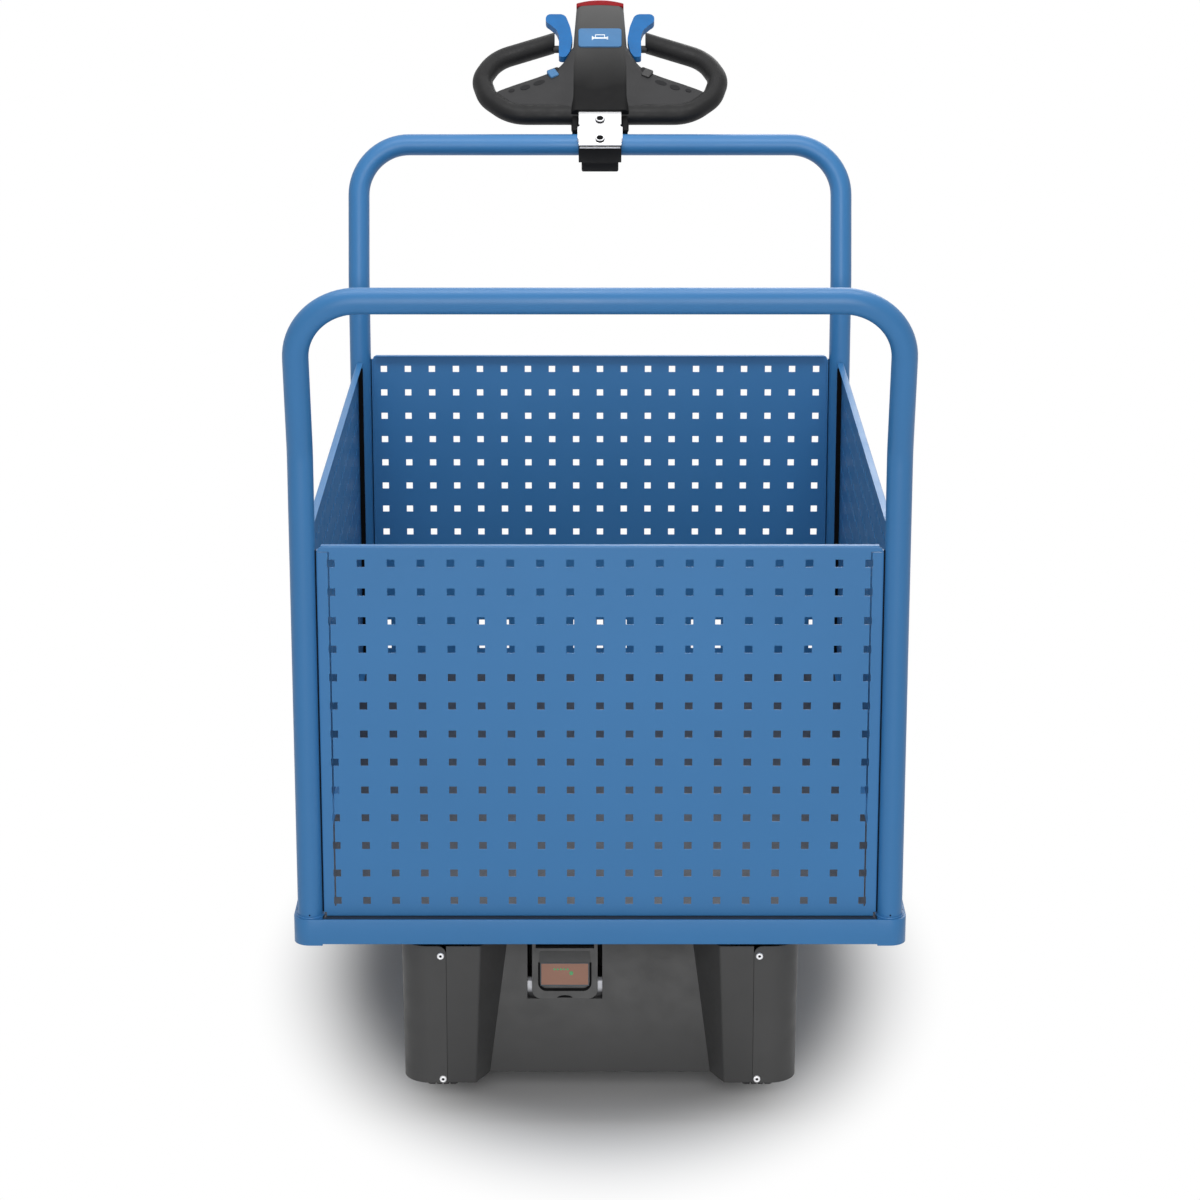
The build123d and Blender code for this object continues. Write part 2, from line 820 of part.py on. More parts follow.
def head():
    """The moulded head: a tapering column, a lobe to each grip, and two cheeks beside the clamp."""
    sections = []
    for length_share, half, under, over in (
        (0, head_half, head_under, head_over),
        (head_level_share, head_half, head_under, head_over),
        (head_taper_share, head_half, (head_under + head_tip_under) / 2, head_over),
        (1, head_tip_half, head_tip_under, head_tip_over),
    ):
        level = head_start + head_length * length_share
        plane = Plane(origin=(0, level, (over - under) / 2), x_dir=(-1, 0, 0), z_dir=(0, 1, 0))
        sections.append(plane * RectangleRounded(2 * half, over + under, head_edge))
    body = loft(sections, ruled=True)
    outline = [
        (0, head_start),
        (grip_reach * lobe_outer_share, head_start),
        (lobe_tip_x + lobe_tip_cut, lobe_tip_y),
        (lobe_tip_x, lobe_tip_y),
        (lobe_bend_x, lobe_bend_y),
        (head_half, lobe_root),
        (0, lobe_root),
    ]
    lobe = extrude(make_face(Polyline(outline, close=True)), lobe_half, both=True)
    bend = lobe.edges().filter_by(Axis.Z).sort_by_distance((lobe_bend_x, lobe_bend_y, 0))[0]
    lobe = fillet(bend, lobe_bend_radius)
    lobe = Pos(0, 0, grip_level) * lobe
    lobe -= grip_tube(grip_diameter / 2 + pin_clearance)
    lobe = lobe.solids().sort_by(Axis.X)[0]
    cheek = block(
        (clamp_half + cheek_side_gap, clamp_half + cheek_side_gap + head_cheek),
        (tube_radius + cheek_bar_gap, head_start),
        (-head_under, clamp_top - cheek_set_down),
    )
    body += [lobe, mirrored(lobe), cheek, mirrored(cheek)]
    on_tiller("tiller_head", body)


def grips():
    """The two closed grips with their open ends, and the pin from each to its lever."""
    grip = grip_tube(grip_diameter / 2)
    end = grip_path(head_half) @ 1
    lever_side = head_half + lever_gap + lever_width * lever_neck_share
    pin = x_cylinder(lever_pin_diameter / 2, (lever_side, end.X), end.Y - lever_pin_drop, grip_level)
    grip += pin
    on_tiller("grip_right", grip)
    on_tiller("grip_left", mirrored(grip))


def controls():
    """The thumb levers, horn button, belly switch and the two small side buttons."""
    inner = head_half + lever_gap
    points = [
        (inner + lever_width * x_share, lever_foot + lever_length * y_share)
        for x_share, y_share in lever_outline_shares
    ]
    lever = extrude(make_face(Polyline(points, close=True)), lever_thickness)
    lever = Pos(0, 0, grip_level - lever_thickness / 2) * fillet(lever.edges().filter_by(Axis.Z), lever_edge)
    on_tiller("thumb_lever_right", lever)
    on_tiller("thumb_lever_left", mirrored(lever))
    horn = extrude(RectangleRounded(horn_width, horn_length, horn_corner), horn_height)
    on_tiller("horn_button", Pos(0, horn_foot + horn_length / 2, head_over) * horn)
    red = block(
        both_sides(head_tip_half),
        (head_end, head_end + belly_length),
        (-head_tip_under, head_tip_over),
    )
    tip = red.faces().sort_by(Axis.Y)[-1]
    on_tiller("belly_switch", fillet(tip.edges(), belly_edge))
    button = extrude(RectangleRounded(button_length, button_width, button_corner), button_height)
    slope = math.degrees(math.atan2(lobe_bend_y - lobe_tip_y, lobe_bend_x - lobe_tip_x))
    place = Pos(button_x, button_y, grip_level + lobe_half) * Rot(0, 0, slope)
    on_tiller("side_button_right", place * button)
    on_tiller("side_button_left", mirrored(place * button))


def build():
    """Model every piece, then move the truck so that its origin is its middle on the floor."""
    for step in (
        rim_pieces,
        deck_board,
        cross_members,
        hoops,
        walls,
        drive_housing,
        battery,
        drive_carrier,
        drive_wheels,
        castor_mounts,
        castors,
        clamp,
        head,
        grips,
        controls,
    ):
        step()
    box = Compound(children=[Compound(shape.solids()) for shape in nodes.values()]).bounding_box()
    shift = Pos(0, -(box.min.Y + box.max.Y) / 2, 0)
    os.makedirs("parts", exist_ok=True)
    for name, shape in nodes.items():
        solids = [shift * solid for solid in shape.solids()]
        placed = solids[0] if len(solids) == 1 else Compound(solids)
        export_step(placed, f"parts/{name}.step")
    print("origin is", round((box.min.Y + box.max.Y) / 2, 3), "behind the deck's middle")


build()
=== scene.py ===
"""Studio scene of an electric platform truck.

Lengths are millimetres about the middle of the deck at floor level, with the front at -Y.
Workpiece.settle turns a finished drawing into an object in metres, in the truck's own frame.
"""
import logging
import math
from dataclasses import dataclass
from enum import Enum
from typing import Callable, Iterable, Sequence

import bmesh
import bpy
from mathutils import Matrix, Vector


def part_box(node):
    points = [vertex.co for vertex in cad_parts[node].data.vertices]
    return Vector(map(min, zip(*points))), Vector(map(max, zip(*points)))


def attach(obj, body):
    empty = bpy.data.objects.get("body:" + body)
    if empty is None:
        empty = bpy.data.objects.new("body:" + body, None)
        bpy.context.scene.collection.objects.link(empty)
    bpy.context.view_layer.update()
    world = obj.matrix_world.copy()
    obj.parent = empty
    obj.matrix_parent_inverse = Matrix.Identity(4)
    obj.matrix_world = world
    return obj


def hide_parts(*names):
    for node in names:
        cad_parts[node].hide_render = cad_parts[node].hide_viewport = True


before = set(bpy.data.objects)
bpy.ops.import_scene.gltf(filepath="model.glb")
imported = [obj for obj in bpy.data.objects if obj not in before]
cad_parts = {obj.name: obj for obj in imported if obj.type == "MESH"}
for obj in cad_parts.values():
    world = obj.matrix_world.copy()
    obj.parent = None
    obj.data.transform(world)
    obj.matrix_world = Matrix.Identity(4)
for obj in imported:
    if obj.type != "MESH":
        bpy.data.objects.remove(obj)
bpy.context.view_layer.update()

BOARD_LOW, BOARD_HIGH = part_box("deck_board")
PLACE = Matrix.Translation((0.0, (BOARD_LOW.y + BOARD_HIGH.y) / 2, 0.0)) @ Matrix.Scale(0.001, 4)
X_TO_Y = Matrix.Rotation(math.radians(90), 4, "Z")
X_TO_Z = Matrix.Rotation(math.radians(-90), 4, "Y")
TOUCH = 0.01
log = logging.getLogger("platform_truck")

Point = Sequence[float]
Test = Callable[[Vector], bool]
Socket = bpy.types.NodeSocket
Edges = list[bmesh.types.BMEdge]


class Side(Enum):
    """The two sides of the truck, as seen from the front."""

    RIGHT = 1
    LEFT = -1

    @property
    def word(self) -> str:
        """The side's name in the names of nodes."""
        return self.name.lower()

    @property
    def mirror(self) -> Matrix:
        """Brings what is drawn on the right to this side."""
        return Matrix.Scale(self.value, 4, (1, 0, 0))


class Body(Enum):
    """The bodies of the truck that move on their own."""

    CHASSIS = "chassis"
    DRIVE_WHEEL = "drive_wheel"
    CASTOR = "castor"
    CASTOR_WHEEL = "castor_wheel"

    def on(self, side: Side | None) -> str:
        """The body's name on a side."""
        return self.value if self is Body.CHASSIS else f"{self.value}_{side.word}"


def linear(red: int, green: int, blue: int, gain: float = 1.0) -> tuple[float, ...]:
    """A display colour in 0 to 255 as a linear colour with an alpha of 1.

    Args:
        red: red as displayed.
        green: green as displayed.
        blue: blue as displayed.
        gain: factor on the linear colour.

    Returns:
        The linear red, green, blue and alpha.
    """
    shares = [part / 255.0 for part in (red, green, blue)]
    values = [share / 12.92 if share <= 0.04045 else ((share + 0.055) / 1.055) ** 2.4 for share in shares]
    return (*(min(1.0, value * gain) for value in values), 1.0)


def verts_in(items: Iterable[object]) -> list[bmesh.types.BMVert]:
    """The vertices among an operator's results."""
    return [item for item in items if isinstance(item, bmesh.types.BMVert)]


class Graph:
    """A node tree, with short calls for the nodes that the finishes and the studio share."""

    def __init__(self, tree: bpy.types.NodeTree) -> None:
        """Wrap a tree and give it the object's coordinates."""
        self.tree = tree
        self.place = self.add("ShaderNodeTexCoord").outputs["Object"]

    def add(self, kind: str, **values: object) -> bpy.types.Node:
        """Add a node and set its properties.

        Args:
            kind: the node's type.
            values: its properties.

        Returns:
            The node.
        """
        node = self.tree.nodes.new(kind)
        for name, value in values.items():
            setattr(node, name, value)
        return node

    def put(self, socket: Socket, source: object) -> None:
        """Set a socket from a value or another node's output.

        Args:
            socket: the socket.
            source: the value or the output.
        """
        if isinstance(source, Socket):
            self.tree.links.new(source, socket)
        else:
            socket.default_value = source

    def feed(self, node: bpy.types.Node, *sources: object, **named: object) -> None:
        """Set a node's inputs, in their order or by name.

        Args:
            node: the node.
            sources: what its first inputs get.
            named: what the inputs of these names get.
        """
        for socket, source in zip(node.inputs, sources):
            self.put(socket, source)
        for name, source in named.items():
            self.put(node.inputs[name.replace("_", " ")], source)

    def laid(self, **values: object) -> Socket:
        """The object's coordinates, moved, turned or scaled.

        Args:
            values: the mapping's inputs by name.

        Returns:
            The coordinates.
        """
        node = self.add("ShaderNodeMapping")
        self.feed(node, Vector=self.place, **values)
        return node.outputs["Vector"]

    def noise(self, size: float, detail: float = 2.0, place: Socket | None = None) -> Socket:
        """Cloudy noise whose patches are about size metres.

        Args:
            size: the patches' size.
            detail: how many finer layers it has.
            place: the coordinates, or none for the object's own.

        Returns:
            The noise.
        """
        node = self.add("ShaderNodeTexNoise")
        self.feed(node, Vector=place or self.place, Scale=1.0 / size, Detail=detail)
        return node.outputs["Fac"]

    def clouds(self, size: float, detail: float, low: float = 0.0, high: float = 1.0) -> Socket:
        """The middle of the noise, spread from one value to another."""
        return self.mapped(self.noise(size, detail), (0.3, 0.7), low, high)

    def cells(
        self, size: float, feature: str, spread: float = 1.0, place: Socket | None = None
    ) -> bpy.types.Node:
        """A pattern of cells about size metres wide.

        Args:
            size: the cells' size.
            feature: what is measured in them.
            spread: how irregular they are.
            place: the coordinates, or none for the object's own.

        Returns:
            The pattern's node.
        """
        node = self.add("ShaderNodeTexVoronoi", feature=feature)
        self.feed(node, Vector=place or self.place, Scale=1.0 / size, Randomness=spread)
        return node

    def mapped(
        self, source: Socket, ends: Point = (0.0, 1.0), low: float = 0.0, high: float = 1.0,
        way: str = "LINEAR",
    ) -> Socket:
        """A value brought from one range to another.

        Args:
            source: the value.
            ends: the range it comes in.
            low: what the range's start becomes.
            high: what the range's end becomes.
            way: how it runs between them.

        Returns:
            The new value.
        """
        node = self.add("ShaderNodeMapRange", interpolation_type=way)
        self.feed(node, Value=source, From_Min=ends[0], From_Max=ends[1], To_Min=low, To_Max=high)
        return node.outputs["Result"]

    def sum(self, operation: str, first: Socket, second: Socket) -> Socket:
        """Two values under an operation.

        Args:
            operation: the operation.
            first: the first value.
            second: the second value.

        Returns:
            The result.
        """
        node = self.add("ShaderNodeMath", operation=operation)
        self.feed(node, first, second)
        return node.outputs[0]

    def blend(self, share: Socket, first: object, second: object) -> Socket:
        """A colour between two others.

        Args:
            share: the second colour's share.
            first: the first colour.
            second: the second colour.

        Returns:
            The colour.
        """
        node = self.add("ShaderNodeMix", data_type="RGBA")
        for index, source in ((0, share), (6, first), (7, second)):
            self.put(node.inputs[index], source)
        return node.outputs[2]

    def bump(self, height: Socket, depth: float, **under: Socket) -> Socket:
        """A relief of a depth in metres, over another one if given.

        Args:
            height: the relief's pattern.
            depth: its depth.
            under: the normal of the relief under it.

        Returns:
            The normal.
        """
        node = self.add("ShaderNodeBump")
        self.feed(node, Height=height, Distance=depth, Strength=1.0, **under)
        return node.outputs["Normal"]

    def seen(self) -> Socket:
        """1 for what the camera sees straight, in a gloss or through glass, else 0.

        Returns:
            The 0 or 1.
        """
        rays = self.add("ShaderNodeLightPath").outputs
        gloss = self.sum("MAXIMUM", rays["Is Camera Ray"], rays["Is Glossy Ray"])
        return self.sum("MAXIMUM", gloss, rays["Is Transmission Ray"])

    def show(self, output: str, share: Socket, first: bpy.types.Node, second: bpy.types.Node) -> None:
        """Send a mix of two shaders to the tree's output.

        Args:
            output: the output's name.
            share: the second shader's share.
            first: the first shader.
            second: the second shader.
        """
        mix = self.add("ShaderNodeMixShader")
        self.feed(mix, share, first.outputs[0], second.outputs[0])
        self.feed(self.tree.nodes[output], Surface=mix.outputs[0])


@dataclass(frozen=True)
class Finish:
    """A finish with uneven colour, uneven gloss and a fine grain.

    Attributes:
        name: the material's name.
        colour: the colour as displayed, 0 to 255.
        spread: how far the colour varies, as a share.
        patch: the size of the colour's patches in metres.
        gloss: the lowest and highest roughness.
        grain: the size of the surface grain in metres.
        relief: the depth of the grain in metres.
        metallic: 1 for bare metal.
        specular: the strength of the plain reflection.
    """

    name: str
    colour: tuple[int, int, int]
    spread: float
    patch: float
    gloss: tuple[float, float]
    grain: float
    relief: float
    metallic: float = 0.0
    specular: float = 0.5

    def material(self) -> bpy.types.Material:
        """The finish's material, made from its patterns the first time it is asked for.

        Returns:
            The material.
        """
        known = bpy.data.materials.get(self.name)
        if known:
            return known
        material = bpy.data.materials.new(self.name)
        material.use_nodes = True
        graph = Graph(material.node_tree)
        graph.feed(
            graph.tree.nodes["Principled BSDF"], Base_Color=self.tint(graph), Roughness=self.shine(graph),
            Normal=self.surface(graph), Metallic=self.metallic, Specular_IOR_Level=self.specular,
        )
        return material

    def tones(self, graph: Graph, share: Socket) -> Socket:
        """Two close tones of the colour, mixed by a share."""
        return graph.blend(share, *(linear(*self.colour, gain=1.0 + sign * self.spread) for sign in (-1, 1)))

    def tint(self, graph: Graph) -> Socket:
        """The colour: two close tones in cloudy patches."""
        return self.tones(graph, graph.clouds(self.patch, 4.0))

    def shine(self, graph: Graph) -> Socket:
        """The roughness: uneven, as from handling."""
        return graph.clouds(self.patch / 4, 3.0, *self.gloss)

    def surface(self, graph: Graph) -> Socket:
        """The grain."""
        return graph.bump(graph.noise(self.grain), self.relief)


class PowderCoat(Finish):
    """Satin powder coat: an orange-peel skin over a slow waviness."""

    def surface(self, graph: Graph) -> Socket:
        """Orange peel over slow waves."""
        waves = graph.bump(graph.noise(self.grain * 12, 1.0), self.relief * 3)
        return graph.bump(graph.noise(self.grain, 1.0), self.relief, Normal=waves)


class Moulded(Finish):
    """Moulded plastic with the fine pits of a spark-eroded mould."""

    def surface(self, graph: Graph) -> Socket:
        """Pits over a faint waviness from shrinking.

        Args:
            graph: the material's node graph.

        Returns:
            The normal.
        """
        sunk = graph.bump(graph.noise(0.03, 1.0), self.relief)
        pits = graph.cells(self.grain, "SMOOTH_F1").outputs["Distance"]
        return graph.bump(pits, self.relief, Normal=sunk)


class Plated(Finish):
    """Zinc plate: pale crystals and fine lines from rolling."""

    def tint(self, graph: Graph) -> Socket:
        """Crystals a shade apart."""
        return self.tones(graph, graph.mapped(graph.cells(self.patch, "F1").outputs["Color"]))

    def surface(self, graph: Graph) -> Socket:
        """Rolling lines: noise drawn out along X."""
        drawn = graph.laid(Scale=(8.0, 1.0 / self.grain, 1.0 / self.grain))
        return graph.bump(graph.noise(1.0, place=drawn), self.relief)


@dataclass(frozen=True)
class Faded(Moulded):
    """Moulded plastic whose colour turns with height, from a darker tone below to a paler one above: painted
    shade and light.

    Attributes:
        upper: the colour at the upper end as displayed.
        span: the heights in metres between which it turns.
    """

    upper: tuple[int, int, int] = (94, 94, 94)
    span: tuple[float, float] = (1.19, 1.31)

    def tint(self, graph: Graph) -> Socket:
        """From the darker colour below to the paler one above, unevenly.

        Args:
            graph: the material's node graph.

        Returns:
            The colour.
        """
        parts = graph.add("ShaderNodeSeparateXYZ")
        graph.feed(parts, graph.place)
        sway = (self.span[1] - self.span[0]) / 20
        height = graph.sum("ADD", parts.outputs["Z"], graph.clouds(self.patch, 2.0, -sway, sway))
        # Painted light and shade: the colour darkens towards the lower end and pales towards the upper end.
        return graph.blend(graph.mapped(height, self.span), linear(*self.colour), linear(*self.upper))


@dataclass(frozen=True)
class Rubber(Finish):
    """Rubber with a dry bloom in patches."""

    bloom: tuple[int, int, int] = (62, 60, 58)

    def tint(self, graph: Graph) -> Socket:
        """Black with a paler bloom that comes through in places."""
        share = graph.mapped(graph.noise(self.patch, 6.0), (0.5, 0.85), 0.0, 0.6)
        return graph.blend(share, linear(*self.colour), linear(*self.bloom))


@dataclass(frozen=True)
class FilmBoard(Finish):
    """Film-faced plywood: a dark film printed with a fine wire mesh."""

    mesh: float = 0.0045

    def surface(self, graph: Graph) -> Socket:
        """The mesh's diamonds over the board's slow waves.

        Args:
            graph: the material's node graph.

        Returns:
            The normal.
        """
        waves = graph.bump(graph.noise(0.05), self.relief)
        slanted = graph.laid(Rotation=(0.0, 0.0, math.radians(45)))
        diamonds = graph.cells(self.mesh, "DISTANCE_TO_EDGE", 0.0, slanted)
        wires = graph.mapped(diamonds.outputs["Distance"], (0.0, 0.18), 1.0, 0.0)
        return graph.bump(wires, self.relief * 6, Normal=waves)


class Window(Finish):
    """A smooth tinted window or lamp."""

    def surface(self, graph: Graph) -> Socket:
        """Almost flat, with slow waves."""
        return graph.bump(graph.noise(0.02, 1.0), self.relief)


SOFT, SATIN, MATT = (0.4, 0.5), (0.5, 0.6), (0.75, 0.85)
PAINT = PowderCoat(
    "blue_powder_coat", (56, 120, 176), 0.03, 0.4, (0.36, 0.46), 0.0011, 0.000012, specular=0.4,
)
BOARD = FilmBoard("film_faced_board", (46, 50, 58), 0.1, 0.12, (0.36, 0.5), 0.001, 0.00002)
HOUSING = Moulded("housing_plastic", (56, 56, 56), 0.08, 0.1, (0.5, 0.62), 0.0008, 0.00003)
BATTERY = Moulded("battery_plastic", (60, 60, 60), 0.08, 0.05, (0.46, 0.58), 0.0007, 0.00003)
# Near black: painted shade in the drain holes, the walls' corner gaps, the screw sockets, the grip recess and
# round the bezel; also on the pack's half-moon and the plate's notches.
NEAR_BLACK_AND_SHADE = Moulded("black_seal", (12, 12, 13), 0.15, 0.02, MATT, 0.0006, 0.00002, specular=0.1)
BLACK = Moulded("black_moulding", (25, 25, 27), 0.08, 0.06, SATIN, 0.0006, 0.00002, specular=0.18)
# The column's colour is painted light: painted shade low on the column, turning to a painted highlight near
# its top.
COLUMN = Faded("column_moulding", (13, 13, 14), 0.08, 0.06, SATIN, 0.0006, 0.00002, specular=0.12)
WING = Moulded("wing_moulding", (50, 50, 51), 0.1, 0.04, (0.48, 0.58), 0.0006, 0.00002, specular=0.2)
GRIP = Moulded("grip_rubber", (18, 18, 19), 0.1, 0.05, (0.44, 0.58), 0.0009, 0.00004, specular=0.25)
BLUE_PLASTIC = Moulded("blue_moulding", (76, 123, 169), 0.06, 0.03, SOFT, 0.0006, 0.00001, specular=0.2)
LEVER_BLUE = Moulded("lever_blue", (28, 104, 168), 0.08, 0.02, SOFT, 0.0006, 0.00001, specular=0.25)
RED_PLASTIC = Moulded("red_moulding", (136, 12, 20), 0.06, 0.03, SOFT, 0.0008, 0.000006, specular=0.15)
# The latch's bright tone turns near black at its hook: painted shade under the pack's foot.
LATCH = Faded("dipped_latch", (30, 30, 32), 0.08, 0.004, (0.36, 0.5), 0.0006, 0.00001,
              upper=(218, 219, 224), span=(0.1475, 0.1545))
DARK_BUTTON = Moulded("button_moulding", (36, 36, 37), 0.1, 0.01, SOFT, 0.0006, 0.00002)
ZINC = Plated("zinc_plate", (226, 228, 232), 0.05, 0.004, (0.3, 0.44), 0.0004, 0.000006, metallic=1.0)
BRIGHT = Plated("bright_zinc", (250, 250, 252), 0.02, 0.004, SOFT, 0.0004, 0.000003, metallic=0.4)
STEEL = Plated("steel_plate", (176, 178, 182), 0.06, 0.006, (0.34, 0.5), 0.0005, 0.00001, metallic=1.0)
TYRE = Rubber("tyre_rubber", (30, 30, 31), 0.1, 0.05, (0.62, 0.8), 0.0012, 0.00005)
HUB = Plated("cast_hub", (150, 152, 156), 0.08, 0.01, (0.4, 0.56), 0.001, 0.00004, metallic=1.0)
RIM_PLASTIC = Moulded("castor_rim_plastic", (52, 53, 56), 0.1, 0.06, (0.5, 0.62), 0.0008, 0.00003)
DISPLAY = Window("display_window", (158, 120, 104), 0.012, 0.06, (0.6, 0.66), 0.001, 0.000002, specular=0.2)
EDGING = Moulded("window_edging", (56, 68, 76), 0.05, 0.02, SATIN, 0.0006, 0.00001)
LED = Window("green_lamp", (60, 150, 86), 0.08, 0.002, (0.3, 0.4), 0.0005, 0.000004)
MARK = Moulded("white_mark", (232, 238, 244), 0.02, 0.01, SOFT, 0.0006, 0.000004)


class Workpiece:
    """A mesh in the making, shaped with operators, in millimetres."""

    def __init__(self) -> None:
        """Start an empty mesh."""
        self.bm = bmesh.new()

    @property
    def everything(self) -> list:
        """All of its vertices, edges and faces."""
        return [*self.bm.verts, *self.bm.edges, *self.bm.faces]

    def outline(self, points: Iterable[Point], closed: bool = True) -> Edges:
        """Draw a line through points and return its edges.

        Args:
            points: the line's points.
            closed: whether its end joins its start.

        Returns:
            The edges.
        """
        verts = [self.bm.verts.new(point) for point in points]
        pairs = list(zip(verts, verts[1:]))
        if closed:
            pairs.append((verts[-1], verts[0]))
        return [self.bm.edges.new(pair) for pair in pairs]

    def raised(self, points: Iterable[Point], lift: Point) -> None:
        """Raise a flat outline into a closed solid.

        Args:
            points: the outline's points.
            lift: how far it is raised.
        """
        face = bmesh.ops.contextual_create(self.bm, geom=self.outline(points))["faces"][0]
        made = bmesh.ops.extrude_face_region(self.bm, geom=[face])["geom"]
        bmesh.ops.translate(self.bm, vec=Vector(lift), verts=verts_in(made))
        self.recalculated()

    def recalculated(self) -> None:
        """Turn all faces outward."""
        bmesh.ops.recalc_face_normals(self.bm, faces=self.bm.faces)

    def slab(self, corner: Point, other: Point, edge: float = 0.0, steps: int = 2) -> None:
        """A block between two opposite corners.

        Args:
            corner: one corner.
            other: the one across from it.
            edge: the radius of its edges.
            steps: how many faces go round an edge.
        """
        low, high = (Vector([pick(pair) for pair in zip(corner, other)]) for pick in (min, max))
        shape = Matrix.Translation((low + high) / 2) @ Matrix.Diagonal((*(high - low), 1.0))
        verts = bmesh.ops.create_cube(self.bm, size=1.0, matrix=shape)["verts"]
        if edge > 0.0:
            self.rounded(self.around(verts), edge, steps)

    def rod(self, foot: Point, head: Point, radius: float, sides: int = 32, edge: float = 0.0) -> None:
        """A round bar between two points.

        Args:
            foot: the middle of one end.
            head: the middle of the other end.
            radius: its radius.
            sides: how many faces go round.
            edge: the radius of the end's edges.
        """
        foot, head = Vector(foot), Vector(head)
        run = head - foot
        turn = run.to_track_quat("Z", "Y").to_matrix().to_4x4()
        verts = bmesh.ops.create_cone(
            self.bm, cap_ends=True, cap_tris=False, segments=sides, radius1=radius, radius2=radius,
            depth=run.length, matrix=Matrix.Translation((foot + head) / 2) @ turn,
        )["verts"]
        if edge > 0.0:
            way = run.normalized()
            ends = [item for item in self.around(verts) if abs(self.along(item).dot(way)) < 0.5]
            self.rounded(ends, edge, 2)

    def turned(self, profile: Iterable[Point], place: Matrix, steps: int = 64) -> None:
        """Turn a closed profile about the X axis.

        Args:
            profile: its points, as place along the axis and radius.
            place: moves the turned shape to where it belongs.
            steps: how many faces go round.
        """
        known = set(self.bm.verts)
        edges = self.outline([(x, 0.0, radius) for x, radius in profile])
        verts = [vert for vert in self.bm.verts if vert not in known]
        bmesh.ops.spin(
            self.bm, geom=edges + verts, cent=(0, 0, 0), axis=(1, 0, 0), dvec=(0, 0, 0),
            angle=math.tau, steps=steps, use_merge=True, use_duplicate=False,
        )
        made = [vert for vert in self.bm.verts if vert not in known]
        bmesh.ops.transform(self.bm, matrix=place, verts=made)

    def ring(self, centre: Point, radius: float, bead: float, steps: int = 48, sides: int = 8) -> None:
        """A round bead bent into a flat ring.

        Args:
            centre: the ring's middle.
            radius: the ring's radius.
            bead: the bead's radius.
            steps: how many faces go round the ring.
            sides: how many faces go round the bead.
        """
        angles = [math.tau * index / sides for index in range(sides)]
        profile = [(bead * math.cos(angle), radius + bead * math.sin(angle)) for angle in angles]
        self.turned(profile, Matrix.Translation(centre) @ X_TO_Z, steps)

    def tube(self, path: Iterable[Point], bends: Iterable[float], radius: float, sides: int) -> None:
        """A round tube along straight runs and bends, its ends closed.

        Args:
            path: the corners of its middle line.
            bends: the bend's radius at each inner corner.
            radius: the tube's radius.
            sides: how many faces go round.
        """
        points = [Vector(point) for point in path]
        turn = (points[1] - points[0]).to_track_quat("Z", "Y").to_matrix().to_4x4()
        place = Matrix.Translation(points[0]) @ turn
        verts = bmesh.ops.create_circle(
            self.bm, cap_ends=False, radius=radius, segments=sides, matrix=place)["verts"]
        first = last = self.between(verts)
        here = points[0]
        for index, bend in enumerate(bends, 1):
            before = (points[index] - points[index - 1]).normalized()
            after = (points[index + 1] - points[index]).normalized()
            angle = before.angle(after)
            run = bend * math.tan(angle / 2)
            start = points[index] - before * run
            last = self.pushed(last, start - here)
            axis = before.cross(after).normalized()
            centre = start + axis.cross(before) * bend
            last = self.swung(last, centre, axis, angle, max(4, round(math.degrees(angle) / 5)))
            here = points[index] + after * run
        last = self.pushed(last, points[-1] - here)
        for loop in (first, last):
            bmesh.ops.contextual_create(self.bm, geom=loop)

    def around(self, verts: Iterable[bmesh.types.BMVert]) -> Edges:
        """The edges that meet at some vertices."""
        return list(dict.fromkeys(edge for vert in verts for edge in vert.link_edges))

    def between(self, verts: Iterable[bmesh.types.BMVert]) -> Edges:
        """The edges whose two ends are both among some vertices."""
        chosen = set(verts)
        return [edge for edge in self.around(verts) if chosen.issuperset(edge.verts)]

    def pushed(self, edges: Edges, move: Vector) -> Edges:
        """Extrude a line of edges along a straight run and return its new edges.

        Args:
            edges: the line.
            move: the run.

        Returns:
            The new edges.
        """
        verts = verts_in(bmesh.ops.extrude_edge_only(self.bm, edges=edges)["geom"])
        bmesh.ops.translate(self.bm, vec=move, verts=verts)
        return self.between(verts)

    def swung(self, edges: Edges, centre: Vector, axis: Vector, angle: float, steps: int) -> Edges:
        """Extrude a line of edges round an axis.

        Args:
            edges: the line.
            centre: a point on the axis.
            axis: the axis.
            angle: how far round, in radians.
            steps: in how many steps.

        Returns:
            The line's edges at the end of the bend.
        """
        verts = list(dict.fromkeys(vert for edge in edges for vert in edge.verts))
        made = bmesh.ops.spin(
            self.bm, geom=edges + verts, cent=centre, axis=axis, dvec=(0, 0, 0),
            angle=angle, steps=steps, use_merge=False, use_duplicate=False,
        )["geom_last"]
        return self.between(verts_in(made))

    def along(self, edge: bmesh.types.BMEdge) -> Vector:
        """An edge's direction."""
        return (edge.verts[1].co - edge.verts[0].co).normalized()

    def edges(self, way: Point | None = None, test: Test | None = None, fold: float = 0.0) -> Edges:
        """Choose edges.

        Args:
            way: a direction that they run in.
            test: what both their ends have to meet.
            fold: the angle in radians that their faces are folded by at least.

        Returns:
            The edges.
        """
        return [
            edge for edge in self.bm.edges
            if (way is None or abs(self.along(edge).dot(Vector(way).normalized())) >= 0.98)
            and (test is None or all(test(vert.co) for vert in edge.verts))
            and (fold <= 0.0 or edge.calc_face_angle(0) > fold)
        ]

    def rim(self, test: Test | None = None) -> Edges:
        """The edges of an opening whose ends meet a test."""
        return [edge for edge in self.edges(None, test) if edge.is_boundary]

    def rounded(self, geom: list, radius: float, steps: int = 3, affect: str = "EDGES") -> None:
        """Round edges or corners to a radius.

        Args:
            geom: the edges or corners.
            radius: the radius.
            steps: the number of facets.
            affect: EDGES or VERTICES.
        """
        bmesh.ops.bevel(
            self.bm, geom=geom, offset=radius, offset_type="OFFSET", segments=steps,
            profile=0.5, affect=affect, clamp_overlap=True, material=-1,
        )

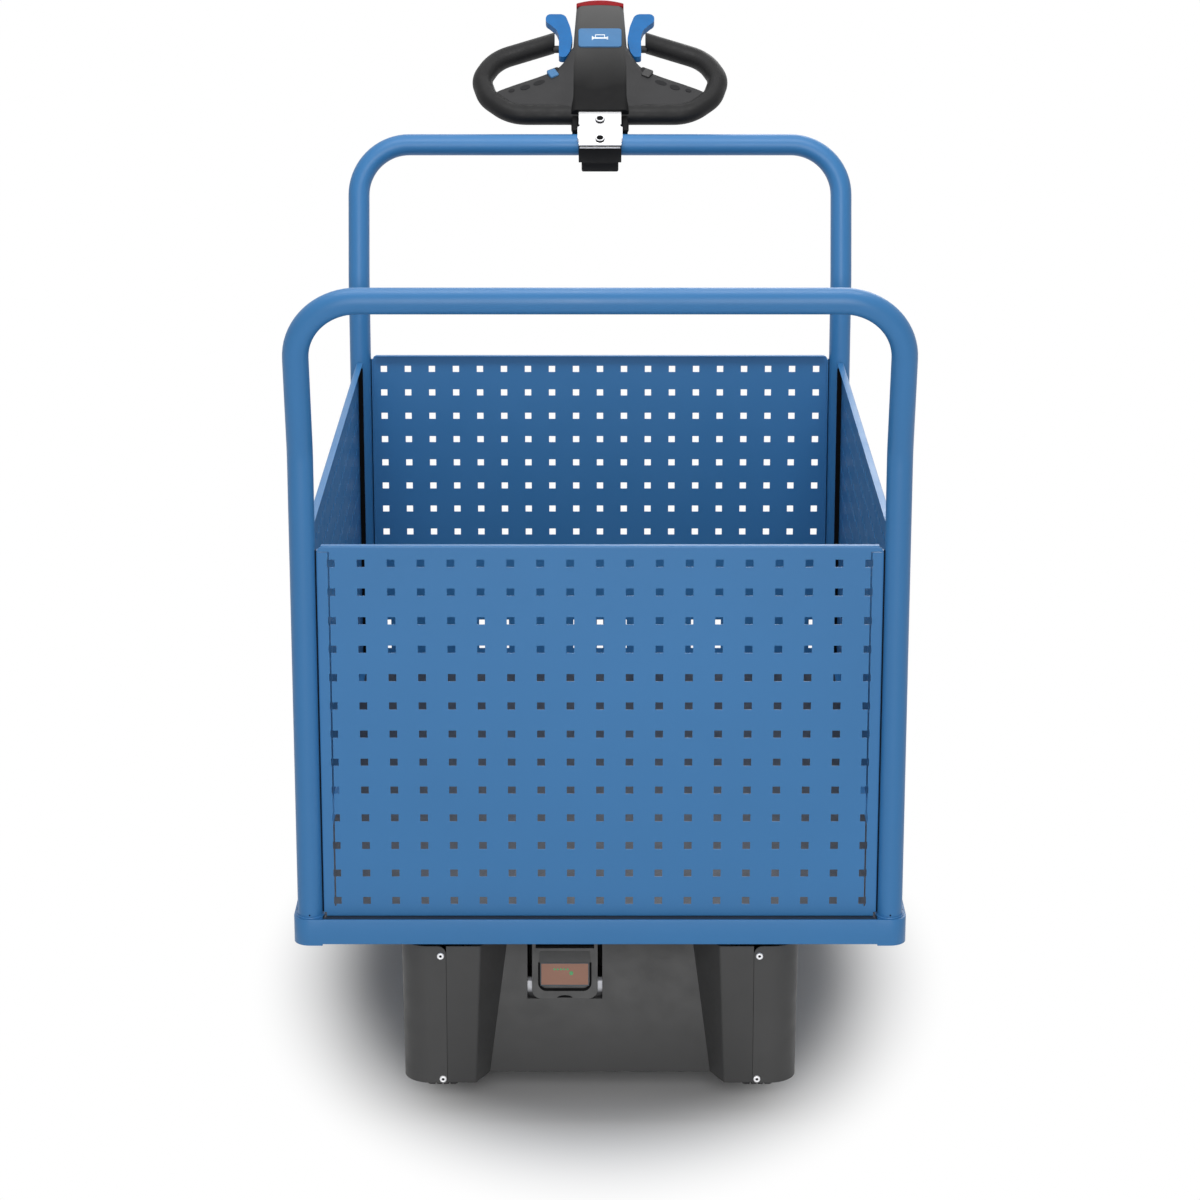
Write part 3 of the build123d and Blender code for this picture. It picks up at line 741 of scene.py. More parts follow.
    def cut(self, point: Point, normal: Point, drop: bool = False) -> None:
        """Cut along a plane, and drop what lies on the side of its normal if asked.

        Args:
            point: a point of the plane.
            normal: its normal.
            drop: whether that side is dropped.
        """
        bmesh.ops.bisect_plane(
            self.bm, geom=self.everything, dist=0.0001, plane_co=Vector(point),
            plane_no=Vector(normal), clear_outer=drop, clear_inner=False,
        )

    def drop_faces(self, test: Test) -> None:
        """Take away the faces whose middle meets a test."""
        faces = [face for face in self.bm.faces if test(face.calc_center_median())]
        bmesh.ops.delete(self.bm, geom=faces, context="FACES")

    def thickened(self, sheet: float, way: Test) -> None:
        """Give a sheet its thickness on the inside.

        Args:
            sheet: the thickness.
            way: whether a face's middle marks it as one whose outside is at -Y.
        """
        self.recalculated()
        front = next(face for face in self.bm.faces if way(face.calc_center_median()))
        if front.normal.y > 0:
            bmesh.ops.reverse_faces(self.bm, faces=self.bm.faces)
        bmesh.ops.solidify(self.bm, geom=self.bm.faces, thickness=sheet)

    def moved(self, matrix: Matrix) -> None:
        """Move everything drawn so far."""
        bmesh.ops.transform(self.bm, matrix=matrix, verts=self.bm.verts)

    def copied(self, *scale: float) -> None:
        """Add a scaled copy of everything drawn so far."""
        verts = verts_in(bmesh.ops.duplicate(self.bm, geom=self.everything)["geom"])
        bmesh.ops.scale(self.bm, vec=scale, verts=verts)

    def both_sides(self) -> None:
        """Add a mirror image on the other side of the truck's middle."""
        self.copied(-1, 1, 1)

    def settle(
        self, name: str, finish: Finish, slot: str, node: str = "", side: Side | None = None,
        body: Body = Body.CHASSIS, place: Matrix | None = None, sharp: float = 32.0,
    ) -> bpy.types.Object:
        """Turn the drawing into a dressed object in the truck's frame.

        Args:
            name: the object's name.
            finish: what it is finished in.
            slot: the name of a record's material slot; not used.
            node: the node that it stands for.
            side: the side that ends its names, if it has one.
            body: the body it rides on.
            place: moves the drawing to where it belongs on the truck.
            sharp: the angle in degrees past which an edge stays sharp.

        Returns:
            The object.
        """
        tail = f"_{side.word}" if side else ""
        if place is not None:
            self.moved(place)
        bmesh.ops.remove_doubles(self.bm, verts=self.bm.verts, dist=0.004)
        self.recalculated()
        self.moved(PLACE)
        mesh = bpy.data.meshes.new(name + tail)
        self.bm.to_mesh(mesh)
        self.bm.free()
        mesh.shade_smooth()
        mesh.set_sharp_from_angle(angle=math.radians(sharp))
        mesh.materials.append(finish.material())
        piece = bpy.data.objects.new(name + tail, mesh)
        bpy.context.scene.collection.objects.link(piece)
        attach(piece, body.on(side))
        if node:
            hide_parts(node + tail)
        log.info("%s: %d faces", piece.name, len(mesh.polygons))
        return piece


def coat(finish: Finish, *nodes: str) -> None:
    """Give nodes that keep their own shape a finish.

    Args:
        finish: the finish.
        nodes: the nodes' names.
    """
    for node in nodes:
        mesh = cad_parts[node].data
        mesh.materials.clear()
        mesh.materials.append(finish.material())


@dataclass
class Rim:
    """The folded steel rim round the deck, its corner blocks, the board and what is under it."""

    half_width: float = 400.0
    half_length: float = 600.0
    top: float = 284.0
    bottom: float = 250.0
    wall: float = 3.0
    ledge: float = 25.0
    board_bottom: float = 271.0
    corner: float = 38.2
    corner_round: float = 21.7
    corner_drop: float = 2.0
    corner_edge: float = 0.7
    fold: float = 1.2

    def build(self) -> None:
        """Make every piece of the rim, and finish the steelwork that keeps its shape."""
        width, length = self.half_width, self.half_length
        for word, degrees, outer, reach in (
            ("right", 0, width, length), ("rear", 90, length, width),
            ("left", 180, width, length), ("front", 270, length, width),
        ):
            self.rail(word, outer, reach - self.corner, math.radians(degrees))
        self.corners()
        coat(BOARD, "deck_board")
        coat(PAINT, "cross_members")
        coat(STEEL, "drive_plate", "castor_beam", "castor_plate_right", "castor_plate_left")

    def rail(self, word: str, outer: float, reach: float, turn: float) -> None:
        """One rail: a web with a ledge for the board and a flange, both inward.

        Args:
            word: the side it is on.
            outer: how far its outer face is from the middle.
            reach: half its length.
            turn: the angle from the right side to its own, in radians.
        """
        work = Workpiece()
        inner, tip = outer - self.wall, outer - self.ledge
        low, shelf = self.bottom + self.wall, self.board_bottom - self.wall
        profile = [
            (outer, self.bottom), (tip, self.bottom), (tip, low), (inner, low), (inner, shelf), (tip, shelf),
            (tip, self.board_bottom), (inner, self.board_bottom), (inner, self.top), (outer, self.top),
        ]
        work.raised([(x, -reach, z) for x, z in profile], (0, 2 * reach, 0))
        work.rounded(work.edges((0, 1, 0), lambda at: at.x > outer - TOUCH), self.fold)
        place = Matrix.Rotation(turn, 4, "Z")
        work.settle(f"rail_{word}", PAINT, "blue_paint", f"rim_rail_{word}", place=place)

    def corners(self) -> None:
        """The four corner blocks."""
        work = Workpiece()
        work.slab(
            (self.half_width - self.corner, self.half_length - self.corner, self.bottom - self.corner_drop),
            (self.half_width, self.half_length, self.top),
        )
        outer = work.edges((0, 0, 1), lambda at: at.x > self.half_width - 1 and at.y > self.half_length - 1)
        work.rounded(outer, self.corner_round, 10)
        level = [edge for edge in work.edges(fold=1.2) if abs(work.along(edge).z) < 0.5]
        work.rounded(level, self.corner_edge, 2)
        work.both_sides()
        work.copied(1, -1, 1)
        work.settle("corner_blocks", PAINT, "blue_paint", "rim_corners")


@dataclass
class Hoops:
    """The two tube hoops that stand on the corner blocks and lean outward above a kink."""

    x: float = 378.3
    y: float = 578.3
    foot: float = 284.0
    kink: float = 905.0
    height: float = 1109.0
    lean_deg: float = 15.0
    kink_bend: float = 90.0
    top_bend: float = 79.0
    radius: float = 16.5
    weld: float = 1.6
    drain: float = 1.1
    drain_lift: float = 4.4
    drain_inside: float = 1.0
    drain_proud: float = 0.15

    def build(self) -> None:
        """Make the rear hoop, the front one, and black plugs in their feet that are painted shade for drain
        holes.
        """
        reach = self.y + (self.height - self.kink) * math.tan(math.radians(self.lean_deg))
        hole_shades = Workpiece()
        bead, seam = self.radius + self.weld / 3, self.foot + self.weld / 3
        out, level = self.y + self.radius, self.foot + self.drain_lift
        for word, sign in (("rear", 1), ("front", -1)):
            work = Workpiece()
            leg = [(sign * self.y, self.foot), (sign * self.y, self.kink), (sign * reach, self.height)]
            path = [(-self.x, *at) for at in leg] + [(self.x, *at) for at in reversed(leg)]
            work.tube(path, (self.kink_bend, self.top_bend, self.top_bend, self.kink_bend), self.radius, 56)
            for x in (-self.x, self.x):
                work.ring((x, sign * self.y, seam), bead, self.weld)
                ends = [(x, sign * y, level) for y in (out - self.drain_inside, out + self.drain_proud)]
                # A black plug in the tube's foot: painted shade for a drain hole.
                hole_shades.rod(*ends, self.drain, 16)
            work.settle(f"tube_hoop_{word}", PAINT, "blue_paint", f"hoop_{word}")
        hole_shades.settle("drain_holes", NEAR_BLACK_AND_SHADE, "blue_paint")


@dataclass
class Walls:
    """The four perforated sheet walls, folded all round."""

    sheet: float = 1.5
    flange: float = 9.5
    bend: float = 1.7
    foot: float = 283.0
    pitch: float = 38.0
    hole: float = 10.0
    margin: float = 15.0
    first_row: float = 21.8
    foot_width: float = 4.0
    foot_height: float = 6.0
    top_cut: float = 6.0
    slit_inset: float = 16.7
    slit_width: float = 2.2
    groove: float = 0.7
    slit_foot: float = 14.0
    slit_head: float = 7.5
    end_half: float = 360.6
    end_height: float = 500.5
    end_out: float = 583.3
    side_half: float = 560.6
    side_height: float = 493.0
    side_out: float = 383.3

    def build(self) -> None:
        """Make the four walls."""
        for word, turn in (("front", 0), ("rear", 180)):
            self.wall(word, self.end_half, self.end_height, self.end_out, turn)
        for word, turn in (("right", 90), ("left", 270)):
            self.wall(word, self.side_half, self.side_height, self.side_out, turn)
        self.seals()

    def wall(self, word: str, half: float, height: float, out: float, turn: float) -> None:
        """One wall, drawn with its outer face at y = 0 and its foot at z = 0, then set in place.

        Args:
            word: the side it is on.
            half: half its width.
            height: its height.
            out: how far its outer face is from the middle of the deck.
            turn: the angle from the front to its own side, in degrees.
        """
        work = self.perforated(half, height)
        if word == "front":
            self.slits(work, half, height)
        self.corner_cuts(work, half, height)
        for way, reach in (((0, 0, 1), height), ((0, 0, -1), 0.0), ((1, 0, 0), half), ((-1, 0, 0), half)):
            self.fold(work, Vector(way), reach)
        bmesh.ops.remove_doubles(work.bm, verts=work.bm.verts, dist=TOUCH)
        work.thickened(self.sheet, lambda at: abs(at.y) < TOUCH)
        place = Matrix.Rotation(math.radians(turn), 4, "Z") @ Matrix.Translation((0, -out, self.foot))
        work.settle(f"sheet_wall_{word}", PAINT, "blue_paint", f"wall_{word}", place=place)

    def perforated(self, half: float, height: float) -> Workpiece:
        """A flat sheet of holes: one cell, repeated across and up, then cut to size.

        Args:
            half: half the sheet's width.
            height: its height.

        Returns:
            The sheet.
        """
        work = Workpiece()
        upright = Matrix.Rotation(math.radians(90), 4, "X")
        cell = bmesh.ops.create_grid(work.bm, x_segments=3, y_segments=3, size=self.pitch / 2, matrix=upright)
        for vert in cell["verts"]:
            for axis in (0, 2):
                if abs(vert.co[axis]) < self.pitch / 3:
                    vert.co[axis] = math.copysign(self.hole / 2, vert.co[axis])
        work.drop_faces(lambda at: at.length < self.hole / 4)
        columns, rows = (int((size - 2 * self.margin) / self.pitch) + 1 for size in (2 * half, height))
        self.repeat(work, columns, Vector((self.pitch, 0, 0)))
        self.repeat(work, rows, Vector((0, 0, self.pitch)))
        work.moved(Matrix.Translation((-(columns - 1) * self.pitch / 2, 0, self.first_row)))
        bmesh.ops.remove_doubles(work.bm, verts=work.bm.verts, dist=TOUCH)
        side, low = columns * self.pitch / 2, self.first_row - self.pitch / 2
        for way, reach, wanted in (
            (Vector((1, 0, 0)), side, half), (Vector((-1, 0, 0)), side, half),
            (Vector((0, 0, 1)), low + rows * self.pitch, height), (Vector((0, 0, -1)), -low, 0.0),
        ):
            if reach > wanted:
                work.cut(way * wanted, way, True)
            else:
                work.pushed(work.edges(None, lambda at: at.dot(way) > reach - TOUCH), way * (wanted - reach))
        return work

    def repeat(self, work: Workpiece, count: int, step: Vector) -> None:
        """Repeat what is drawn so far a number of times along a step.

        Args:
            work: the drawing.
            count: how many there are in all.
            step: the step from one to the next.
        """
        geometry = work.everything
        for _ in range(count - 1):
            geometry = bmesh.ops.duplicate(work.bm, geom=geometry)["geom"]
            bmesh.ops.translate(work.bm, vec=step, verts=verts_in(geometry))

    def seals(self) -> None:
        """Black strips in the walls' corners, beside the tubes and along the side walls' ends: painted shade
        in the gaps there.
        """
        work = Workpiece()
        foot, end = self.foot + self.foot_height, self.side_half - self.sheet
        for sign in (-1, 1):
            head = self.foot + self.end_height - self.top_cut
            work.slab((self.end_half - 0.7, sign * (self.end_out - 1.0), foot),
                      (self.end_half + 2.0, sign * (self.end_out - 7.0), head), 0.4)
            head = self.foot + self.side_height - self.flange
            work.slab((self.side_out - self.flange, sign * (end - 0.6), foot),
                      (self.side_out - 2.0, sign * (end + 0.2), head))
        work.both_sides()
        work.settle("corner_seals", NEAR_BLACK_AND_SHADE, "black_plastic")

    def slits(self, work: Workpiece, half: float, height: float) -> None:
        """Part the edge strips from the sheet with a slit at their side and a groove at their head.

        Args:
            work: the sheet.
            half: half its width.
            height: its height.
        """
        inner, outer = half - self.slit_inset, half - self.slit_inset + self.slit_width
        for x in (-outer, -inner, inner, outer):
            work.cut((x, 0, 0), (1, 0, 0))
        low, high = self.slit_foot, height - self.slit_head
        for z in (low, high - self.groove, high):
            work.cut((0, 0, z), (0, 0, 1))
        work.drop_faces(lambda at: inner < abs(at.x) < outer and low < at.z < high)
        work.drop_faces(lambda at: abs(at.x) > outer and high - self.groove < at.z < high)

    def corner_cuts(self, work: Workpiece, half: float, height: float) -> None:
        """Cut the top corners at a slant and notch the bottom ones.

        Args:
            work: the sheet.
            half: half its width.
            height: its height.
        """
        edge = half - self.foot_width
        for sign in (-1, 1):
            work.cut((sign * (half - self.top_cut), 0, height), (sign, 0, 1), True)
            work.cut((sign * edge, 0, 0), (sign, 0, 0))
        work.cut((0, 0, self.foot_height), (0, 0, 1))
        work.drop_faces(lambda at: abs(at.x) > edge and at.z < self.foot_height)

    def fold(self, work: Workpiece, way: Vector, reach: float) -> None:
        """Fold a flange inward along one edge of the sheet.

        Args:
            work: the sheet.
            way: the direction from the sheet's middle to that edge.
            reach: how far the edge is that way.
        """
        rim = work.rim(lambda at: at.dot(way) > reach - TOUCH)
        verts = list(dict.fromkeys(vert for edge in rim for vert in edge.verts))
        bmesh.ops.translate(work.bm, vec=-way * self.bend, verts=verts)
        inward = Vector((0, 1, 0))
        last = work.swung(rim, verts[0].co + inward * self.bend, way.cross(inward), math.pi / 2, 4)
        work.pushed(last, inward * (self.flange - self.bend))


@dataclass
class DriveUnit:
    """The moulded drive unit under the front: a centre piece, two pod covers and their screws."""

    half_top: float = 262.0
    half_bottom: float = 260.0
    inner_top: float = 157.0
    inner_bottom: float = 164.0
    panel_top: float = 121.0
    panel_bottom: float = 147.0
    front: float = 575.0
    rear: float = 339.0
    panel_front_bottom: float = 539.0
    panel_front_top: float = 501.0
    bottom: float = 44.0
    top: float = 237.5
    corner: float = 37.0
    rear_corner: float = 14.0
    seam: float = 202.0
    seam_gap: float = 0.5
    notch: float = 11.0
    wall: float = 3.0
    bay: float = 170.0
    pocket_middle: float = -46.9
    pocket_half: float = 50.0
    pocket_floor: float = 141.5
    pocket_rear: float = 399.4
    screw_head: float = 4.7
    socket: float = 1.9
    socket_ends: tuple[float, float] = (-1.6, 0.4)
    crease: float = 2.5
    foot_edge: float = 1.5
    screws: tuple[tuple[float, float], ...] = ((209.5, 224.0), (208.0, 49.8))

    def build(self) -> None:
        """Make the centre piece, the covers and the screws."""
        self.centre()
        for side in Side:
            self.cover(side)
            self.fasteners(side)

    def centre(self) -> None:
        """The centre piece between the pods, with the battery's pocket."""
        work = Workpiece()
        half = [
            (self.panel_bottom, -self.panel_front_bottom), (self.inner_bottom, -self.front),
            (self.seam, -self.front), (self.seam, -self.front + self.wall),
            (self.bay, -self.front + self.wall), (self.bay, -self.rear - self.wall),
            (self.seam, -self.rear - self.wall), (self.seam, -self.rear),
        ]
        points = half + [(-x, y) for x, y in reversed(half)]
        work.raised([(x, y, self.bottom) for x, y in points], (0, 0, self.top - self.bottom))
        for at in [vert.co for vert in work.bm.verts if vert.co.z > self.top - 1]:
            if abs(abs(at.x) - self.panel_bottom) < TOUCH:
                at.x, at.y = math.copysign(self.panel_top, at.x), -self.panel_front_top
            elif abs(abs(at.x) - self.inner_bottom) < TOUCH:
                at.x = math.copysign(self.inner_top, at.x)
        self.pocket(work)
        creases = [
            edge for edge in work.edges(None, lambda at: at.y < -self.panel_front_top + 1)
            if abs(work.along(edge).z) > 0.9
            and self.inner_top - 1 < max(abs(vert.co.x) for vert in edge.verts) < self.bay
        ]
        work.rounded(creases, self.crease)
        feet = work.edges(None, lambda at: at.z < self.bottom + TOUCH and at.y < -self.panel_front_top)
        work.rounded([edge for edge in feet if abs(work.along(edge).z) < 0.1], self.foot_edge, 2)
        work.settle("drive_centre", HOUSING, "housing", "drive_housing")

    def pocket(self, work: Workpiece) -> None:
        """Open the battery's pocket in the panel and the top, and line it.

        Args:
            work: the centre piece.
        """
        left, right = self.pocket_middle - self.pocket_half, self.pocket_middle + self.pocket_half
        floor, rear = self.pocket_floor, -self.pocket_rear
        faces = []
        for face in work.bm.faces:
            at, way = face.calc_center_median(), face.normal
            facing = abs(way.z) < 0.5 and abs(way.x) < TOUCH
            if facing and abs(at.x) < 1 and at.y < -self.panel_front_top + 1 or at.z > self.top - TOUCH:
                faces.append(face)
        for point, normal in (
            ((left, 0, 0), (1, 0, 0)), ((right, 0, 0), (1, 0, 0)),
            ((0, 0, floor), (0, 0, 1)), ((0, rear, 0), (0, 1, 0)),
        ):
            edges = dict.fromkeys(edge for face in faces for edge in face.edges)
            verts = dict.fromkeys(vert for face in faces for vert in face.verts)
            made = bmesh.ops.bisect_plane(
                work.bm, geom=[*faces, *edges, *verts], dist=0.0001,
                plane_co=point, plane_no=normal, clear_outer=False, clear_inner=False,
            )["geom"]
            faces = [item for item in made if isinstance(item, bmesh.types.BMFace)]
        open_faces = []
        for face in faces:
            at = face.calc_center_median()
            if left < at.x < right and at.z > floor and at.y < rear:
                open_faces.append(face)
        bmesh.ops.delete(work.bm, geom=open_faces, context="FACES")
        sill = work.rim(lambda at: abs(at.z - floor) < TOUCH)
        inner = work.pushed(sill, Vector((0, rear - sill[0].verts[0].co.y, 0)))
        back = work.rim(lambda at: abs(at.y - rear) < TOUCH and at.z > self.top - 1)
        bmesh.ops.bridge_loops(work.bm, edges=inner + back)
        for x in (left, right):
            bmesh.ops.contextual_create(work.bm, geom=work.rim(lambda at: abs(at.x - x) < TOUCH))

    def cover(self, side: Side) -> None:
        """A pod's cover: a thin shell round the front, the side and the rear of the wheel.

        Args:
            side: the side it is on.
        """
        work = Workpiece()
        start = self.seam + self.seam_gap
        line = work.outline([
            (start, -self.front, self.bottom), (self.half_bottom, -self.front, self.bottom),
            (self.half_bottom, -self.rear, self.bottom), (start, -self.rear, self.bottom),
        ], closed=False)
        work.pushed(line, Vector((0, 0, self.top - self.bottom)))
        for vert in work.bm.verts:
            if vert.co.z > self.bottom + 1 and vert.co.x > start + 1:
                vert.co.x = self.half_top
        for radius, steps, test in (
            (self.corner, 12, lambda at: at.x > start + 1 and at.y < 1 - self.front),
            (self.rear_corner, 8, lambda at: at.x > start + 1 and at.y > -self.rear - 1),
        ):
            upright = [edge for edge in work.edges(None, test) if abs(work.along(edge).z) > 0.9]
            work.rounded(upright, radius, steps)
        tip = [vert for vert in work.bm.verts
               if vert.co.x < start + TOUCH and vert.co.z > self.top - TOUCH and vert.co.y < -self.rear - 1]
        work.rounded(tip, self.notch, 6, "VERTICES")
        work.thickened(self.wall, lambda at: at.y < TOUCH - self.front)
        work.settle("pod_shell", HOUSING, "housing", "pod_cover", side, place=side.mirror)

    def fasteners(self, side: Side) -> None:
        """The two socket screws in a pod's front, each a bright ring round a black hexagon that is painted
        shade in its socket.

        Args:
            side: the side it is on.
        """
        work, sockets = Workpiece(), Workpiece()
        profile = [
            (0.6, 1.6), (-1.5, 1.8), (-2.0, 2.5), (-1.9, 3.6), (-1.2, self.screw_head - 0.3),
            (-0.4, self.screw_head), (0.8, self.screw_head), (0.8, 1.6),
        ]
        for x, z in self.screws:
            spot = Matrix.Translation((side.value * x, -self.front, z))
            work.turned(profile, spot @ Matrix.Translation((0, -0.6, 0)) @ X_TO_Y, 28)
            sockets.rod(*(spot @ Vector((0, y, 0)) for y in self.socket_ends), self.socket, 6)
        work.settle("pod_screws", BRIGHT, "zinc", side=side, sharp=50)
        sockets.settle("pod_sockets", NEAR_BLACK_AND_SHADE, "black_plastic", side=side)


@dataclass
class Battery:
    """The battery in its pocket, with its display, lamps and latches."""

    middle: float = -46.9
    half: float = 43.75
    floor: float = 141.5
    top: float = 234.5
    rear: float = 399.4
    lean: float = 38.0 / 193.5
    panel_bottom: float = 539.0
    unit_bottom: float = 44.0
    set_in: float = 0.2
    side_edge: float = 1.2
    handle_half: float = 38.9
    handle_foot: float = 208.0
    handle_head: float = 226.0
    handle_depth: float = 22.0
    foot_round: float = 12.0
    arch_radius: float = 11.0
    arch_squash: float = 0.42
    bezel_half: float = 33.2
    bezel_foot: float = 156.0
    bezel_head: float = 190.2
    bezel_corner: float = 9.0
    bezel_rise: float = 6.6
    bezel_slope: float = 16.5
    bezel_sink: float = 0.6
    seal_side: float = 2.4
    seal_foot: float = 4.9
    seal_rise: float = 0.35
    display_half: float = 31.3
    display_foot: float = 160.8
    display_head: float = 189.2
    edging: float = 1.0
    lamp_row: tuple[float, ...] = (-13.8, -9.4, -5.0, -0.7, 3.7)
    lamp_lift: float = 6.7
    lamp_radius: float = 1.4
    status_spot: tuple[float, float] = (8.6, 1.5)
    status_radius: float = 2.7
    lamp_sink: float = 0.3
    lamp_rise: float = 0.8
    status_rise: float = 0.85
    slot: float = 6.25
    latch_head: float = 164.0
    latch_depth: float = 14.0
    latch_set_in: float = 3.0
    latch_edge: float = 1.8

    def build(self) -> None:
        """Make the pack, the bezel, the display and the latches."""
        self.pack()
        self.bezel()
        self.arch()
        self.display()
        self.latches()

    def panel(self, level: float) -> float:
        """The face's y at a height."""
        return -self.panel_bottom + self.lean * (level - self.unit_bottom) + self.set_in

    def frame(self, level: float) -> Matrix:
        """The battery's face at a height: x across, y up it, z out of it."""
        turn = Matrix.Rotation(math.radians(90) - math.atan(self.lean), 4, "X")
        return Matrix.Translation((self.middle, self.panel(level), level)) @ turn

    def pack(self) -> None:
        """The pack with its grip recess, and a black slab at the back of the recess that is painted shade."""
        work = Workpiece()
        side = [
            (self.panel(self.floor), self.floor), (-self.rear, self.floor),
            (-self.rear, self.top), (self.panel(self.top), self.top),
        ]
        work.raised([(self.middle - self.half, y, z) for y, z in side], (2 * self.half, 0, 0))
        work.rounded(work.edges((0, 1, 0), lambda at: at.z < self.floor + TOUCH), self.foot_round, 8)
        self.grip(work)
        low = self.floor + self.foot_round - TOUCH
        sides = work.edges((0, self.lean, 1), lambda at: at.y < -self.rear - 60 and at.z > low, 0.9)
        work.rounded(sides, self.side_edge)
        work.settle("battery_body", BATTERY, "housing", "battery_pack", sharp=12)
        recess_shade = Workpiece()
        back = self.panel(self.handle_foot) + self.handle_depth
        recess_shade.slab((self.middle - self.handle_half + 0.2, back - 16, self.handle_foot + 0.1),
                    (self.middle + self.handle_half - 0.2, back - 1, self.handle_head - 0.2), 1.5)
        recess_shade.settle("grip_lining", NEAR_BLACK_AND_SHADE, "black_plastic")

    def grip(self, work: Workpiece) -> None:
        """Sink the hand grip into the upper part of the pack's face.

        Args:
            work: the pack.
        """
        left, right = self.middle - self.handle_half, self.middle + self.handle_half
        for x in (left, right):
            work.cut((x, 0, 0), (1, 0, 0))
        for level in (self.handle_foot, self.handle_head):
            work.cut((0, 0, level), (0, 0, 1))
        work.recalculated()
        patch = []
        for face in work.bm.faces:
            at = face.calc_center_median()
            if face.normal.y < -0.5 and left < at.x < right and self.handle_foot < at.z < self.handle_head:
                patch.append(face)
        made = bmesh.ops.extrude_face_region(work.bm, geom=patch)["geom"]
        bmesh.ops.translate(work.bm, vec=(0, self.handle_depth, 0), verts=verts_in(made))
        bmesh.ops.delete(work.bm, geom=patch, context="FACES")

    def bezel(self) -> None:
        """The raised bezel, whose top slopes into the pack, and a black strip at its sides and foot that is
        painted shade.
        """
        level, height = (self.bezel_foot + self.bezel_head) / 2, (self.bezel_head - self.bezel_foot) / 2
        place, half, rise = self.frame(level), self.bezel_half, self.bezel_rise
        bezel = Workpiece()
        bezel.slab((-half, -height, -self.bezel_sink), (half, height, rise))
        bezel.rounded(bezel.edges((0, 0, 1), lambda at: at.y < 0), self.bezel_corner, 6)
        bezel.rounded(bezel.edges(None, lambda at: at.z > rise - TOUCH), 1.2, 2)
        for vert in bezel.bm.verts:
            if vert.co.y > height - 0.1 and vert.co.z < 0:
                vert.co.y += self.bezel_slope
        bezel.settle("battery_bezel", BATTERY, "housing", place=place, sharp=14)
        bezel_shade, side = Workpiece(), half + self.seal_side
        bezel_shade.slab((-side, -height - self.seal_foot, -self.bezel_sink), (side, height - 0.5, self.seal_rise))
        bezel_shade.rounded(bezel_shade.edges((0, 0, 1), lambda at: at.y < 0), self.bezel_corner + 2, 6)
        bezel_shade.settle("battery_seal", NEAR_BLACK_AND_SHADE, "black_plastic", place=place)
        edging, side = Workpiece(), self.display_half + self.edging
        foot = self.display_foot - level - 1.4 * self.edging
        edging.slab((-side, foot, 0), (side, height, rise + 0.2))
        edging.settle("window_edging", EDGING, "housing", place=place)

    def arch(self) -> None:
        """The black half-moon in the middle of the pack's foot."""
        arch = Workpiece()
        arch.rod((0, -3.0, -0.5), (0, -3.0, 0.3), self.arch_radius)
        arch.cut((0, 0, 0), (0, -1, 0), True)
        place = self.frame(self.floor + 1.2) @ Matrix.Diagonal((1.0, self.arch_squash, 1.0, 1.0))
        arch.settle("battery_arch", NEAR_BLACK_AND_SHADE, "black_plastic", place=place)

    def display(self) -> None:
        """The tinted window, its row of charge lamps and the larger status lamp."""
        height = (self.display_head - self.display_foot) / 2
        face, rise = self.frame((self.display_foot + self.display_head) / 2), self.bezel_rise
        work = Workpiece()
        work.slab((-self.display_half, -height, rise - 0.5), (self.display_half, height, rise + 0.6), 0.4)
        work.settle("battery_window", DISPLAY, "display", "battery_display", place=face)
        lamps, low = Workpiece(), rise + self.lamp_sink
        top = rise + self.lamp_rise
        for x in self.lamp_row:
            lamps.rod((x, self.lamp_lift, low), (x, self.lamp_lift, top), self.lamp_radius, 16)
        spot, top = self.status_spot, rise + self.status_rise
        lamps.rod((*spot, low), (*spot, top), self.status_radius, 24)
        lamps.settle("battery_lamps", LED, "display", place=face)

    def latches(self) -> None:
        """The latch on each side of the pack: bright beside it, and near black where it hooks its foot, which
        is painted shade.
        """
        work = Workpiece()
        front = self.panel(self.latch_head) + self.latch_set_in - self.set_in
        outer, inner, low = self.half + self.slot, self.half, self.floor
        turns = [math.radians(90 * index / 8) for index in range(9)]
        hook, bow = [(inner, self.latch_head)], self.foot_round
        hook += [(inner - bow * (1 - math.cos(turn)), low + bow * (1 - math.sin(turn))) for turn in turns]
        bow = self.slot
        hook += [(outer - bow * (1 - math.sin(turn)), low + bow * (1 - math.cos(turn))) for turn in turns]
        hook.append((outer, self.latch_head))
        for sign in (-1, 1):
            work.raised([(self.middle + sign * x, front, z) for x, z in hook], (0, self.latch_depth, 0))
        work.rounded(work.edges(fold=1.2), self.latch_edge, 4)
        work.settle("latches", LATCH, "zinc", "battery_latches")


